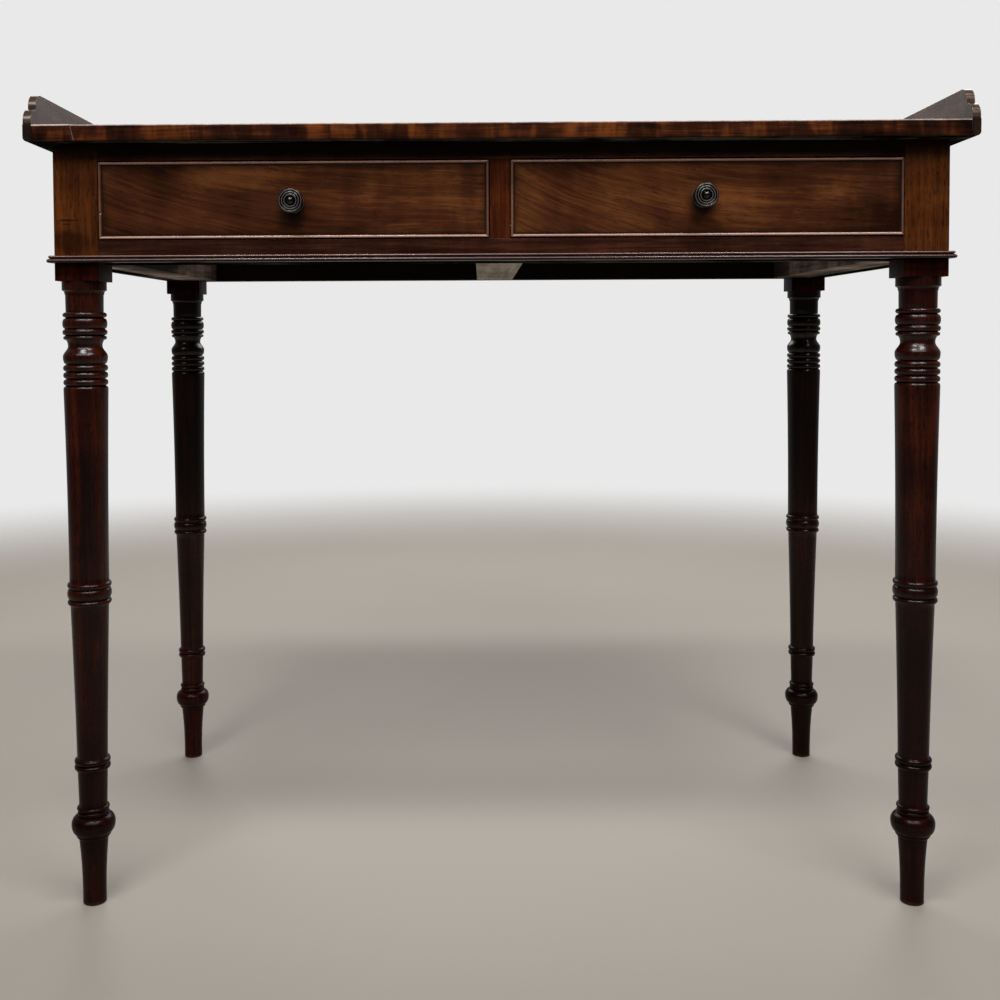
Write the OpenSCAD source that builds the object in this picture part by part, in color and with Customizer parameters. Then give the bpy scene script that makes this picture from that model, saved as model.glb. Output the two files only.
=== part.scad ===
// Two-drawer writing table on ring-turned legs, with a low gallery round the sides and back.
// The origin is on the floor, under the middle of the table. +Z is up and the drawers face -Y.
// Pieces are drawn with y = 0 on the front faces of the legs, and seated() moves them into place.

/* [Overall] */
// Height of the writing surface above the floor
table_h = 760; // [700:1:820]
// Width over the outer faces of the legs
frame_w = 852; // [760:1:1000]
// Depth from the front faces of the front legs to the back faces of the rear legs
frame_d = 446; // [400:1:520]
// Side of the square stock that each leg is turned from
leg_stock = 42.5; // [40:0.5:46]
// Height of the frieze, from under the top to under the drawer rail
frieze_h = 112.5; // [100:0.5:130]
// How far the square of a leg runs below the drawer rail
block_drop = 17; // [10:0.5:30]

/* [Top] */
// Thickness of the top board
top_t = 16; // [14:0.5:22]
// How far the top stands out past the legs at the front and sides
top_overhang = 20.5; // [16:0.5:30]
// How far the top stands out past the legs at the back
back_overhang = 12; // [10:0.5:30]
// Radius on the upper front edge of the top
top_round = 2.2; // [1:0.1:4]
// Radius on the lower front edge of the top
under_round = 1.2; // [0.5:0.1:3]
// Width of the strip that covers each end of the top
strip_w = 8; // [7:0.5:12]
// Radius on the lower outer edge of that strip
strip_round = 4; // [1:0.1:5]
// Length of the piece let into the left front corner of the top
patch_l = 35; // [20:1:60]
// Depth of that piece from the front edge
patch_d = 14; // [8:1:30]
// How far its joint leans over the thickness of the top
patch_lean = 4; // [0:0.5:10]

/* [Gallery] */
// Height of the gallery above the writing surface
gallery_h = 31.5; // [26:0.5:45]
// Height of the first step at the front ends
step_h = 15.5; // [13:0.5:20]
// Length of the first step
step_l = 14; // [13:0.5:25]
// Radius of the quarter round that each step is worked to
step_round = 13; // [6:0.5:13]
// How far the outer face of the gallery lies inside the end strip
gallery_inset = 0.5; // [0.5:0.1:2]
// Thickness of the back board of the gallery
gallery_back_t = 8; // [6:0.5:12]
// Depth of the rebate in the top that this board stands in
gallery_let_in = 2; // [1:0.5:5]

/* [Rails and panels] */
// Thickness of the rail above the drawers
rail_top_h = 15.7; // [12:0.1:22]
// Thickness of the rail below the drawers
rail_bottom_h = 21.4; // [16:0.1:26]
// Width of the upright between the drawers
muntin_w = 19; // [16:0.5:30]
// Thickness of the side frieze boards
side_t = 20; // [16:0.5:22]
// Thickness of the back frieze board
back_t = 22; // [16:0.5:26]
// Thickness of the tenons
tenon_t = 10; // [8:0.5:11]
// Length of the tenons into the legs
tenon_l = 20; // [14:0.5:22]
// Shoulder left above and below a frieze tenon
tenon_shoulder = 8; // [5:0.5:15]
// How far a tenon lies in from the face of its board
tenon_set = 5; // [4:0.5:6]
// Length of the stub tenons on the upright
stub_l = 6; // [4:0.5:9]
// Thickness of the stub tenons
stub_t = 9; // [6:0.5:12]
// Thickness of the dovetails on the ends of the upper rail
dovetail_t = 10; // [8:0.5:11]
// Width of those dovetails at the root
dovetail_w = 17; // [12:0.5:20]
// How much those dovetails widen on each side
dovetail_flare = 4; // [2:0.5:5]

/* [Bead moulding] */
// Height of the double bead round the bottom of the frieze
bead_h = 7.2; // [6:0.2:10]
// How far the lower bead stands out
bead_proud = 5.8; // [4.5:0.1:8]
// Height of the lower bead
bead_low_h = 4; // [3:0.1:5]
// How far the upper bead lies behind the lower one
bead_step = 1.3; // [0.5:0.1:2]

/* [Drawers] */
// Gap at each side of a drawer
drawer_side_gap = 0.6; // [0.4:0.1:1.5]
// Gap between a drawer side and the runner under it
drawer_run_gap = 0.3; // [0.2:0.05:0.5]
// Gap above and below a drawer front
drawer_front_gap = 0.9; // [0.6:0.1:2]
// Room between the back of a drawer and the back frieze
drawer_back_gap = 28; // [18:1:80]
// Thickness of the drawer front
front_t = 20; // [18:0.5:24]
// Thickness of the drawer sides
drawer_side_t = 9; // [8:0.5:12]
// Thickness of the drawer back
drawer_back_t = 8; // [7:0.5:12]
// How far the drawer back lies below the tops of the sides
drawer_back_drop = 5; // [2:0.5:15]
// Thickness of the drawer bottom
bottom_t = 6; // [5:0.5:8]
// Height of the drawer bottom above the lower edges of the sides
bottom_lift = 9; // [8:0.5:12]
// Depth of the groove that holds the drawer bottom
groove_d = 4; // [3:0.5:5]
// Thickness of the cock bead round a drawer front
cock_t = 3.2; // [2.4:0.2:4]
// Depth of the rebate that the cock bead is set in
cock_seat = 9; // [6:0.5:9]
// Number of dovetails at each front corner
tail_n = 3; // [2:1:4]
// Width of a dovetail at its root
tail_w = 13; // [9:0.5:14]
// How much a dovetail widens on each side
tail_flare = 1.8; // [1:0.1:2.5]
// Distance of the outer nails in a drawer bottom from the drawer sides
nail_inset = 50; // [20:1:100]

/* [Knobs] */
// Diameter of the face of a knob
knob_d = 24; // [20:0.5:32]
// How far a knob stands out from the drawer front
knob_proud = 24; // [22:0.5:32]
// How far the left knob sits below the middle of its drawer front
knob_low = 3; // [0:0.5:6]
// How far the right knob sits from the middle of its drawer front, towards the upright
knob_inward = 4; // [0:0.5:8]
// Diameter of the flange against the drawer front
knob_flange_d = 22; // [18:0.5:30]
// Diameter of the neck
knob_neck_d = 11; // [10:0.5:15]
// Width of each of the three rings on the face of a knob
face_ring = 2.3; // [1.6:0.1:2.6]
// Diameter of the spigot in the drawer front
spigot_d = 8; // [6:0.5:10]
// Length of the spigot
spigot_l = 14; // [10:0.5:16]
// Room round a glued spigot
glue_gap = 0.05; // [0.02:0.01:0.1]

/* [Leg turning] */
// How much smaller than the stock the widest turned diameter is
turn_allowance = 0.5; // [0.4:0.1:2]
// Height of the round collar under the square
collar_h = 8.5; // [6:0.5:14]
// Height of the cove under the collar
cove_h = 4; // [3:0.5:6]
// Height of the plain neck
neck_h = 17.2; // [12:0.1:24]
// Diameter of the neck
neck_d = 35.5; // [32:0.5:37]
// Height of a thin ring under the neck
thin_h = 5.2; // [4:0.1:7]
// Height of the fat ring between the thin ones
fat_h = 10; // [7:0.1:14]
// Height of the flat between two rings
quirk_h = 0.8; // [0.4:0.1:1.5]
// Diameter in the grooves between rings
groove_dia = 37.4; // [35:0.2:39]
// Height of the lip above the waist
lip_h = 4; // [3:0.2:6]
// Height from the thinnest part of the waist up to the lip
waist_h = 6; // [4:0.2:10]
// Diameter of the waist
waist_d = 32.2; // [28:0.2:34]
// Height of the round bulb under the waist
bulb_h = 17.5; // [12:0.5:22]
// Height of each ring of the lower stack
stack_ring_h = 6.2; // [4:0.1:8]
// Number of rings in the lower stack
stack_n = 3; // [2:1:4]
// Diameter of the column where it meets the middle rings
column_mid_d = 37.4; // [34:0.2:39]
// Height of the middle rings above the floor
mid_ring_z = 309.5; // [240:0.5:380]
// Height of the fat middle ring
mid_fat_h = 10; // [7:0.1:14]
// Diameter of the lower column under the middle rings
lower_top_d = 36.4; // [32:0.2:39]
// Diameter at the thinnest part, above the ankle rings
ankle_d = 26.8; // [24:0.2:28.4]
// Height of the double ring above the floor
double_ring_z = 140; // [125:0.5:180]
// Height of each of the two rings
double_ring_h = 6; // [4:0.1:8]
// Diameter of the double ring
double_ring_d = 34.4; // [31:0.2:37]
// Height of the widest part of the ball above the floor
ball_z = 80; // [70:0.5:95]
// Height of the ball above its widest part
ball_over_h = 8.5; // [6:0.5:12]
// Height of the ball below its widest part
ball_under_h = 9.5; // [7:0.5:14]
// Height of each ring on the ball
ankle_ring_h = 4.8; // [3:0.1:7]
// Diameter of the rings on the ball
ankle_ring_d = 31.2; // [29:0.2:34]
// Height of the fillet under the ball
fillet_h = 4; // [2:0.2:6]
// Diameter of the fillet under the ball
fillet_d = 33; // [30:0.2:35]
// Diameter of the leg under the fillet
foot_top_d = 28.4; // [26:0.2:29]
// Diameter of the foot on the floor
foot_d = 22.4; // [18:0.2:26]

/* [Inside] */
// How far the runners and kickers reach in under and over the drawer sides
runner_reach = 18.5; // [13:0.5:24]
// Width of the bearer between the drawers
bearer_w = 46; // [42:1:60]
// Height of the guides beside the drawers
guide_h = 12; // [8:0.5:20]
// Height of the drawer stops
stop_h = 6; // [4:0.5:7]
// Width of a drawer stop
stop_w = 30; // [20:1:50]
// Gap between a stop and the drawer front at rest
stop_gap = 0.3; // [0.2:0.05:0.5]
// Side of the triangular glue blocks
glue_block = 15; // [10:0.5:16]
// Length of a glue block
glue_block_l = 50; // [30:1:80]
// Diameter of the screws that hold the top
screw_d = 3.6; // [3:0.1:4.5]
// How far those screws go into the top
screw_bite = 10; // [6:0.5:11]
// Diameter of the nails under the drawer bottoms
nail_d = 1.8; // [1.4:0.1:2.4]
// How far those nails go into the drawer backs
nail_bite = 8; // [5:0.5:15]

/* [Hidden] */
$fn = 48;

// Colours of the woods and metals
mahogany = "#4a2213";
dark_mahogany = "#2c120c";
figured = "#5a2e17";
ebonised = "#16110f";
deal = "#8a7358";
oak = "#8c744f";
iron = "#4b4744";

// Levels
top_under = table_h - top_t;
rail_under = top_under - frieze_h;
block_under = rail_under - block_drop;
opening_z = rail_under + rail_bottom_h;
opening_top = top_under - rail_top_h;
opening_h = opening_top - opening_z;

// Plan, with y = 0 on the front faces of the legs
half_w = frame_w / 2;
inner_x = half_w - leg_stock;
side_in_x = half_w - side_t;
back_in_y = frame_d - back_t;
leg_back_y = frame_d - leg_stock;
opening_w = inner_x - muntin_w / 2;
opening_mid = (inner_x + muntin_w / 2) / 2;
top_x = half_w + top_overhang;
top_back = frame_d + back_overhang;
front_reach = max(top_overhang, knob_proud);
seat_y = (front_reach - top_back) / 2;
board_x = top_x - strip_w;
eps = 1;

// Drawer, drawn with x = 0 at its middle
drawer_w = opening_w - 2 * drawer_side_gap;
face_z0 = opening_z + drawer_front_gap;
face_z1 = opening_top - drawer_front_gap;
face_h = face_z1 - face_z0;
side_z0 = opening_z + drawer_run_gap;
side_z1 = face_z1 - drawer_run_gap;
side_h = side_z1 - side_z0;
drawer_d = back_in_y - drawer_back_gap;
side_in = drawer_w / 2 - drawer_side_t;
bottom_z = side_z0 + bottom_lift;
tail_lap = cock_seat + 0.5;
back_z0 = bottom_z + bottom_t;
back_z1 = side_z1 - drawer_back_drop;
knob_z = (face_z0 + face_z1) / 2;

// Leg radii and levels, from the square down to the floor
turn_r = (leg_stock - turn_allowance) / 2;
groove_r = groove_dia / 2;
cove_z = block_under - collar_h;
neck_top = cove_z - cove_h;
neck_bottom = neck_top - neck_h;
ring_1 = neck_bottom - thin_h / 2;
ring_2 = ring_1 - thin_h / 2 - quirk_h - fat_h / 2;
ring_3 = ring_2 - fat_h / 2 - quirk_h - thin_h / 2;
lip_z = ring_3 - thin_h / 2 - quirk_h - lip_h / 2;
waist_z = lip_z - lip_h / 2 - waist_h;
bulb_z0 = waist_z - bulb_h;
bulb_mid = bulb_z0 + bulb_h * 0.38;
stack_z = bulb_z0 - quirk_h;
stack_pitch = stack_ring_h + quirk_h;
column_top = stack_z - stack_n * stack_pitch;
mid_half = mid_fat_h / 2 + quirk_h + thin_h;
ball_top = ball_z + ball_over_h;
ankle_base = ball_top + 2 * ankle_ring_h;
fillet_z = ball_z - ball_under_h;

// Moves a piece from the frame's front faces to the origin's place
module seated() translate([0, seat_y, 0]) children();

// A square-edged board between two corners, given as ranges in x, y and z
module board(x, y, z) translate([x[0], y[0], z[0]]) cube([x[1] - x[0], y[1] - y[0], z[1] - z[0]]);

// Extrudes an outline drawn in y and z along x
module along_x(x0, x1) translate([x0, 0, 0]) rotate([90, 0, 90]) linear_extrude(x1 - x0) children();

// Extrudes an outline drawn in x and z along y
module along_y(y0, y1) translate([0, y1, 0]) rotate([90, 0, 0]) linear_extrude(y1 - y0) children();

// Draws the right-hand piece for side = 1 and its mirror image for side = -1
module handed(side) mirror([side < 0 ? 1 : 0, 0, 0]) children();

// Points on an arc of an ellipse, from angle a0 to a1
function arc(c, r, a0, a1, n = 8) =
    [for (i = [0:n]) let (a = a0 + (a1 - a0) * i / n) [c[0] + r[0] * cos(a), c[1] + r[1] * sin(a)]];

// A turned ring: half an ellipse standing out of a groove
function ring(z, h, r, g) = arc([g, z], [r - g, h / 2], -90, 90);

// A tapered stretch that widens upwards by a power of its height
function taper(z0, r0, z1, r1, power, n = 10) =
    [for (i = [0:n]) let (t = i / n) [r0 + (r1 - r0) * pow(t, power), z0 + (z1 - z0) * t]];

// A smooth swell from radius r0 to r1 between two levels
function swell(z0, r0, z1, r1, n = 10) =
    [for (i = [0:n]) let (t = i / n) [r0 + (r1 - r0) * (1 - cos(180 * t)) / 2, z0 + (z1 - z0) * t]];

// Half of the turned leg, from the floor up into the square
foot_curve = concat(
    [[0, 0], [foot_d / 2 - 0.8, 0]],
    taper(0.8, foot_d / 2, fillet_z - fillet_h, foot_top_d / 2, 2.4),
    arc([foot_top_d / 2, fillet_z - fillet_h / 2], [(fillet_d - foot_top_d) / 2, fillet_h / 2], -90, 0, 4),
    arc([fillet_d / 2, ball_z], [turn_r - fillet_d / 2, ball_under_h], -90, 0),
    arc([ankle_d / 2 + 1, ball_z], [turn_r - ankle_d / 2 - 1, ball_over_h], 10, 90)
);
ankle_curve = concat(
    ring(ball_top + ankle_ring_h / 2, ankle_ring_h - quirk_h, ankle_ring_d / 2 - 0.4, ankle_d / 2 + 0.6),
    ring(ball_top + ankle_ring_h * 1.5, ankle_ring_h - quirk_h, ankle_ring_d / 2, ankle_d / 2 + 0.2),
    taper(ankle_base, ankle_d / 2, double_ring_z - double_ring_h, ankle_d / 2 + 0.9, 1, 4),
    [
        for (side = [-1, 1])
            each ring(double_ring_z + side * double_ring_h / 2, double_ring_h - quirk_h / 2,
                double_ring_d / 2, ankle_d / 2 + 1.4)
    ]
);
column_curve = concat(
    taper(double_ring_z + double_ring_h, ankle_d / 2 + 1.2,
        mid_ring_z - mid_half - quirk_h, lower_top_d / 2, 1.3),
    ring(mid_ring_z - mid_half + thin_h / 2, thin_h, turn_r - 0.2, lower_top_d / 2 + 0.4),
    ring(mid_ring_z, mid_fat_h, turn_r, lower_top_d / 2 + 0.6),
    ring(mid_ring_z + mid_half - thin_h / 2, thin_h, turn_r - 0.1, column_mid_d / 2 + 0.3),
    taper(mid_ring_z + mid_half + quirk_h, column_mid_d / 2, column_top - 3, turn_r, 1.9, 14),
    arc([turn_r - 1.6, column_top - 3], [1.6, 3], 10, 90, 4)
);
stack_curve = [
    for (k = [stack_n - 1:-1:0])
        each ring(stack_z - stack_ring_h / 2 - k * stack_pitch, stack_ring_h, turn_r, groove_r - 0.3)
];
bulb_curve = concat(
    arc([groove_r - 0.4, bulb_mid], [turn_r - groove_r + 0.4, bulb_mid - bulb_z0], -90, 0),
    swell(bulb_mid + 0.6, turn_r, waist_z, waist_d / 2),
    taper(waist_z + 0.4, waist_d / 2, lip_z - lip_h / 2, groove_r - 0.8, 2.2, 5)
);
head_curve = concat(
    ring(lip_z, lip_h, turn_r - 0.6, groove_r - 0.6),
    ring(ring_3, thin_h, turn_r, groove_r + 0.4),
    ring(ring_2, fat_h, turn_r, groove_r),
    ring(ring_1, thin_h, turn_r - 0.3, neck_d / 2 - 0.2),
    [[neck_d / 2, neck_bottom + 0.6], [neck_d / 2 + 0.2, neck_top], [neck_d / 2 + 0.8, neck_top]],
    arc([turn_r, neck_top + 0.8], [neck_d / 2 + 0.8 - turn_r, cove_h - 0.8], 0, 90, 6),
    [[turn_r, block_under + eps], [0, block_under + eps]]
);

// Turned part and square of one leg, with its axis on x = y = 0
leg_curve = concat(foot_curve, ankle_curve, column_curve, stack_curve, bulb_curve, head_curve);
module leg_body() {
    rotate_extrude() polygon(leg_curve);
    board([-leg_stock / 2, leg_stock / 2], [-leg_stock / 2, leg_stock / 2], [block_under, top_under]);
}

// Right front leg, with mortises for the two rails and the side frieze
module front_leg() difference() {
    translate([half_w - leg_stock / 2, leg_stock / 2, 0]) leg_body();
    rail_dovetail();
    rail_tenon();
    side_tenon(leg_stock - tenon_l, leg_stock + eps);
}

// Right rear leg, with mortises for the side and back frieze boards
module rear_leg() difference() {
    translate([half_w - leg_stock / 2, frame_d - leg_stock / 2, 0]) leg_body();
    side_tenon(leg_back_y - eps, leg_back_y + tenon_l);
    back_tenon();
}

// Dovetail of the top rail, let into the top of the leg from above
module rail_dovetail() translate([inner_x, leg_stock / 2, top_under - dovetail_t])
    linear_extrude(dovetail_t) polygon([
        [-eps, -dovetail_w / 2], [-eps, dovetail_w / 2], [0, dovetail_w / 2],
        [tenon_l, dovetail_w / 2 + dovetail_flare], [tenon_l, -dovetail_w / 2 - dovetail_flare],
        [0, -dovetail_w / 2]
    ]);

// Tenon of the drawer rail
module rail_tenon() board(
    [inner_x - eps, inner_x + tenon_l],
    [tenon_shoulder, leg_stock - tenon_shoulder],
    [rail_under + (rail_bottom_h - tenon_t) / 2, rail_under + (rail_bottom_h + tenon_t) / 2]
);

// Tenon of the side frieze between two y positions
module side_tenon(y0, y1) board(
    [half_w - tenon_set - tenon_t, half_w - tenon_set],
    [y0, y1],
    [rail_under + tenon_shoulder, top_under - tenon_shoulder]
);

// Tenon of the back frieze
module back_tenon() board(
    [inner_x - eps, inner_x + tenon_l],
    [frame_d - tenon_set - tenon_t, frame_d - tenon_set],
    [rail_under + tenon_shoulder, top_under - tenon_shoulder]
);

// Stub tenon of the upright, into the rail above or below
module muntin_stub(z0, z1) board(
    [-stub_t / 2, stub_t / 2], [tenon_shoulder, leg_stock - tenon_shoulder], [z0, z1]
);

module drawer_rail_top() difference() {
    union() {
        board([-inner_x, inner_x], [0, leg_stock], [opening_top, top_under]);
        for (side = [-1, 1]) handed(side) rail_dovetail();
    }
    muntin_stub(opening_top - eps, opening_top + stub_l);
}

module drawer_rail_bottom() difference() {
    union() {
        board([-inner_x, inner_x], [0, leg_stock], [rail_under, opening_z]);
        for (side = [-1, 1]) handed(side) rail_tenon();
    }
    muntin_stub(opening_z - stub_l, opening_z + eps);
}

module middle_upright() {
    board([-muntin_w / 2, muntin_w / 2], [0, leg_stock], [opening_z, opening_top]);
    muntin_stub(opening_z - stub_l, opening_top + stub_l);
}

module side_frieze() {
    board([side_in_x, half_w], [leg_stock, leg_back_y], [rail_under, top_under]);
    side_tenon(leg_stock - tenon_l, leg_back_y + tenon_l);
}

module rear_frieze() {
    board([-inner_x, inner_x], [back_in_y, frame_d], [rail_under, top_under]);
    for (side = [-1, 1]) handed(side) back_tenon();
}

// Section of the whole top in y and z, with its front edge rounded
module top_section() polygon(concat(
    [[top_back, top_under], [top_back, table_h]],
    arc([top_round - top_overhang, table_h - top_round], [top_round, top_round], 90, 180),
    arc([under_round - top_overhang, top_under + under_round], [under_round, under_round], 180, 270, 6)
));

// Space of the let-in piece at the left front corner
module patch_space() along_y(-top_overhang - eps, patch_d - top_overhang) polygon([
    [-board_x - eps, top_under - eps], [patch_l + patch_lean - board_x, top_under - eps],
    [patch_l - board_x, table_h + eps], [-board_x - eps, table_h + eps]
]);

// Screw places over the kickers: x, then y
screw_x = [(inner_x - runner_reach + side_in_x) / -2, 0, (inner_x - runner_reach + side_in_x) / 2];
screw_y = [leg_stock * 2, frame_d / 2, leg_back_y - leg_stock];

// Holes or screws at every place, as the children say
module at_screws() for (x = screw_x, y = screw_y) translate([x, y, top_under]) children();

// Front of the gallery's back board
gallery_y = top_back - gallery_inset - gallery_back_t;

module main_board() difference() {
    along_x(-board_x, board_x) top_section();
    patch_space();
    board(
        [-board_x - eps, board_x + eps],
        [gallery_y, top_back + eps],
        [table_h - gallery_let_in, table_h + eps]
    );
    at_screws() translate([0, 0, -eps])
        cylinder(d = screw_d + 2 * glue_gap, h = screw_bite + eps + glue_gap);
}

module corner_patch() intersection() {
    along_x(-board_x, board_x) top_section();
    patch_space();
}

// Strip along the right end of the top, with its lower outer edge rounded
module end_strip() along_y(-top_overhang, top_back) polygon(concat(
    [[board_x, table_h], [board_x, top_under]],
    arc([top_x - strip_round, top_under + strip_round], [strip_round, strip_round], -90, 0),
    [[top_x, table_h]]
));

// Right side board of the gallery, with two rounded steps at its front end
gallery_l = top_back + top_overhang - gallery_inset;
upper_round = min(step_round, gallery_h - step_h - 0.5);
module gallery_side() along_x(board_x, top_x - gallery_inset) translate([-top_overhang, table_h])
    polygon(concat(
        [[0, 0]],
        arc([step_round, step_h - step_round], [step_round, step_round], 180, 90),
        [[step_l, step_h]],
        arc([step_l + upper_round, gallery_h - upper_round], [upper_round, upper_round], 180, 90),
        [[gallery_l, gallery_h], [gallery_l, 0]]
    ));

module gallery_rear() board(
    [-board_x, board_x],
    [gallery_y, top_back - gallery_inset],
    [table_h - gallery_let_in, table_h + gallery_h]
);

// Section of the double bead: x stands out from the frieze, y is height above the rail's underside
bead_low_r = bead_low_h / 2;
bead_up_r = (bead_h - bead_low_h - 0.4) / 2;
module bead_section() polygon(concat(
    [[0, 0]],
    arc([bead_proud - bead_low_r, bead_low_r], [bead_low_r, bead_low_r], -90, 80),
    arc([bead_proud - bead_step - bead_up_r, bead_h - bead_up_r], [bead_up_r, bead_up_r], -80, 90),
    [[0, bead_h]]
));

module front_bead() intersection() {
    along_x(-half_w - bead_proud, half_w + bead_proud)
        mirror([1, 0]) translate([0, rail_under]) bead_section();
    translate([0, 0, rail_under - eps]) linear_extrude(bead_h + 2 * eps) polygon([
        [-half_w, 0], [-half_w - bead_proud, -bead_proud], [half_w + bead_proud, -bead_proud], [half_w, 0]
    ]);
}

module side_bead() intersection() {
    along_y(-bead_proud, frame_d) translate([half_w, rail_under]) bead_section();
    translate([0, 0, rail_under - eps]) linear_extrude(bead_h + 2 * eps) polygon([
        [half_w, 0], [half_w + bead_proud, -bead_proud], [half_w + bead_proud, frame_d], [half_w, frame_d]
    ]);
}

// Plan of a runner or kicker beside the right-hand leg, reaching to the back frieze past the rear leg
module edge_strip(z0, z1) {
    board([inner_x - runner_reach, side_in_x], [leg_stock, leg_back_y], [z0, z1]);
    board([inner_x - runner_reach, inner_x], [leg_back_y - eps, back_in_y], [z0, z1]);
}

module side_runner() edge_strip(rail_under, opening_z);

module side_guide() board([inner_x, side_in_x], [leg_stock, leg_back_y], [opening_z, opening_z + guide_h]);

module middle_bearer() board(
    [-bearer_w / 2, bearer_w / 2], [leg_stock, back_in_y], [rail_under, opening_z]
);

module middle_guide() board(
    [-muntin_w / 2, muntin_w / 2], [leg_stock, back_in_y], [opening_z, opening_z + guide_h]
);

// Hole through a kicker for a screw, sunk for its head from below
module kicker_holes() at_screws() translate([0, 0, -rail_top_h]) {
    translate([0, 0, -eps]) cylinder(d = screw_d + 0.6, h = rail_top_h + 2 * eps);
    translate([0, 0, -eps]) cylinder(d = screw_d * 2 + 0.6, h = screw_d + eps);
}

module side_kicker() difference() {
    edge_strip(opening_top, top_under);
    kicker_holes();
}

module middle_kicker() difference() {
    board([-bearer_w / 2, bearer_w / 2], [leg_stock, back_in_y], [opening_top, top_under]);
    kicker_holes();
}

module screws() at_screws() {
    translate([0, 0, screw_d - rail_top_h]) cylinder(d = screw_d, h = rail_top_h - screw_d + screw_bite);
    translate([0, 0, screw_d / 2 - rail_top_h]) cylinder(d = screw_d * 2, h = screw_d / 2);
}

// Stops on the drawer rail, two to each drawer
module stops() for (side = [-1, 1], end = [-1, 1])
    translate([side * opening_mid + end * opening_w / 3, front_t + stop_gap, opening_z])
        translate([-stop_w / 2, 0, 0]) cube([stop_w, leg_stock - front_t - stop_gap, stop_h]);

// Triangular blocks rubbed into the angle between the top and the back frieze
module blocks() for (side = [-1, 1], end = [-1, 1])
    translate([side * opening_mid + end * opening_w / 4 - glue_block_l / 2, back_in_y, top_under])
        along_x(0, glue_block_l) polygon([[0, 0], [-glue_block, 0], [0, -glue_block]]);

// Middle of each dovetail at a drawer's front corner, as heights
function tail_places(z0, z1, n) = [for (k = [0:n - 1]) z0 + (z1 - z0) * (k + 0.5) / n];

// Dovetails of the right-hand drawer side at the front, let into the drawer front from behind
module front_tails() for (z = tail_places(side_z0, side_z1, tail_n))
    along_x(side_in, drawer_w / 2) polygon([
        [front_t + eps, z - tail_w / 2], [front_t + eps, z + tail_w / 2], [front_t, z + tail_w / 2],
        [tail_lap, z + tail_w / 2 + tail_flare], [tail_lap, z - tail_w / 2 - tail_flare],
        [front_t, z - tail_w / 2]
    ]);

// Dovetails of the same side at the back, through the drawer back
back_root = tail_w / 2 - tail_flare;
module back_tails() for (z = tail_places(back_z0, back_z1, 2))
    along_x(side_in, drawer_w / 2 + eps) polygon([
        [drawer_d - drawer_back_t - eps, z - back_root], [drawer_d - drawer_back_t - eps, z + back_root],
        [drawer_d - drawer_back_t, z + back_root], [drawer_d, z + tail_w / 2],
        [drawer_d + eps, z + tail_w / 2], [drawer_d + eps, z - tail_w / 2],
        [drawer_d, z - tail_w / 2], [drawer_d - drawer_back_t, z - back_root]
    ]);

module drawer_base() board(
    [-side_in - groove_d, side_in + groove_d],
    [front_t - groove_d, drawer_d],
    [bottom_z, bottom_z + bottom_t]
);

module drawer_rear() difference() {
    board([-drawer_w / 2, drawer_w / 2], [drawer_d - drawer_back_t, drawer_d], [back_z0, back_z1]);
    for (side = [-1, 1]) handed(side) back_tails();
}

module drawer_side() difference() {
    union() {
        board([side_in, drawer_w / 2], [front_t, drawer_d], [side_z0, side_z1]);
        front_tails();
    }
    drawer_rear();
    drawer_base();
}

// Moves a knob or its hole to its place on the drawer front: side is -1 for the left drawer
module knob_place(side)
    translate([side > 0 ? -knob_inward : 0, 0, side < 0 ? knob_z - knob_low : knob_z]) children();

module drawer_face(side) difference() {
    union() {
        board(
            [-drawer_w / 2 + cock_t, drawer_w / 2 - cock_t],
            [0, front_t],
            [face_z0 + cock_t, face_z1 - cock_t]
        );
        board([-drawer_w / 2, drawer_w / 2], [cock_seat, front_t], [face_z0, face_z1]);
    }
    for (end = [-1, 1]) handed(end) front_tails();
    drawer_base();
    knob_place(side) rotate([-90, 0, 0]) translate([0, 0, -eps])
        cylinder(d = spigot_d + 2 * glue_gap, h = spigot_l + eps + glue_gap);
}

// Section of a cock bead: x is depth from the drawer's face, y is thickness
module cock_section() polygon(concat(
    [[cock_seat, 0]],
    arc([0, cock_t / 2], [cock_t / 2, cock_t / 2], 270, 90),
    [[cock_seat, cock_t]]
));

// Horizontal cock bead under the top edge, mitred at both ends
module cock_top() intersection() {
    along_x(-drawer_w / 2, drawer_w / 2) translate([0, face_z1 - cock_t]) cock_section();
    along_y(-cock_t, cock_seat) polygon([
        [-drawer_w / 2, face_z1], [drawer_w / 2, face_z1],
        [drawer_w / 2 - cock_t, face_z1 - cock_t], [cock_t - drawer_w / 2, face_z1 - cock_t]
    ]);
}

module cock_bottom() translate([0, 0, face_z0 + face_z1]) mirror([0, 0, 1]) cock_top();

// Upright cock bead at the right-hand end, mitred at both ends
module cock_end() intersection() {
    translate([drawer_w / 2, 0, face_z0]) rotate([0, 0, 90]) linear_extrude(face_h) cock_section();
    along_y(-cock_t, cock_seat) polygon([
        [drawer_w / 2, face_z0], [drawer_w / 2, face_z1],
        [drawer_w / 2 - cock_t, face_z1 - cock_t], [drawer_w / 2 - cock_t, face_z0 + cock_t]
    ]);
}

// Nails up through the back edge of the drawer bottom into the drawer back
nail_x = [nail_inset - side_in, 0, side_in - nail_inset];
nail_y = drawer_d - drawer_back_t / 2;
nail_l = bottom_t + nail_bite;
module nails() for (x = nail_x) translate([x, nail_y, bottom_z]) {
    translate([0, 0, -nail_d / 2]) cylinder(d = nail_d * 2.4, h = nail_d / 2);
    cylinder(d = nail_d, h = nail_l);
}
module nail_holes() for (x = nail_x) translate([x, nail_y, bottom_z - eps])
    cylinder(d = nail_d + 2 * glue_gap, h = nail_l + eps + glue_gap);

module nailed_rear() difference() {
    drawer_rear();
    nail_holes();
}

module nailed_base() difference() {
    drawer_base();
    nail_holes();
}

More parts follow.
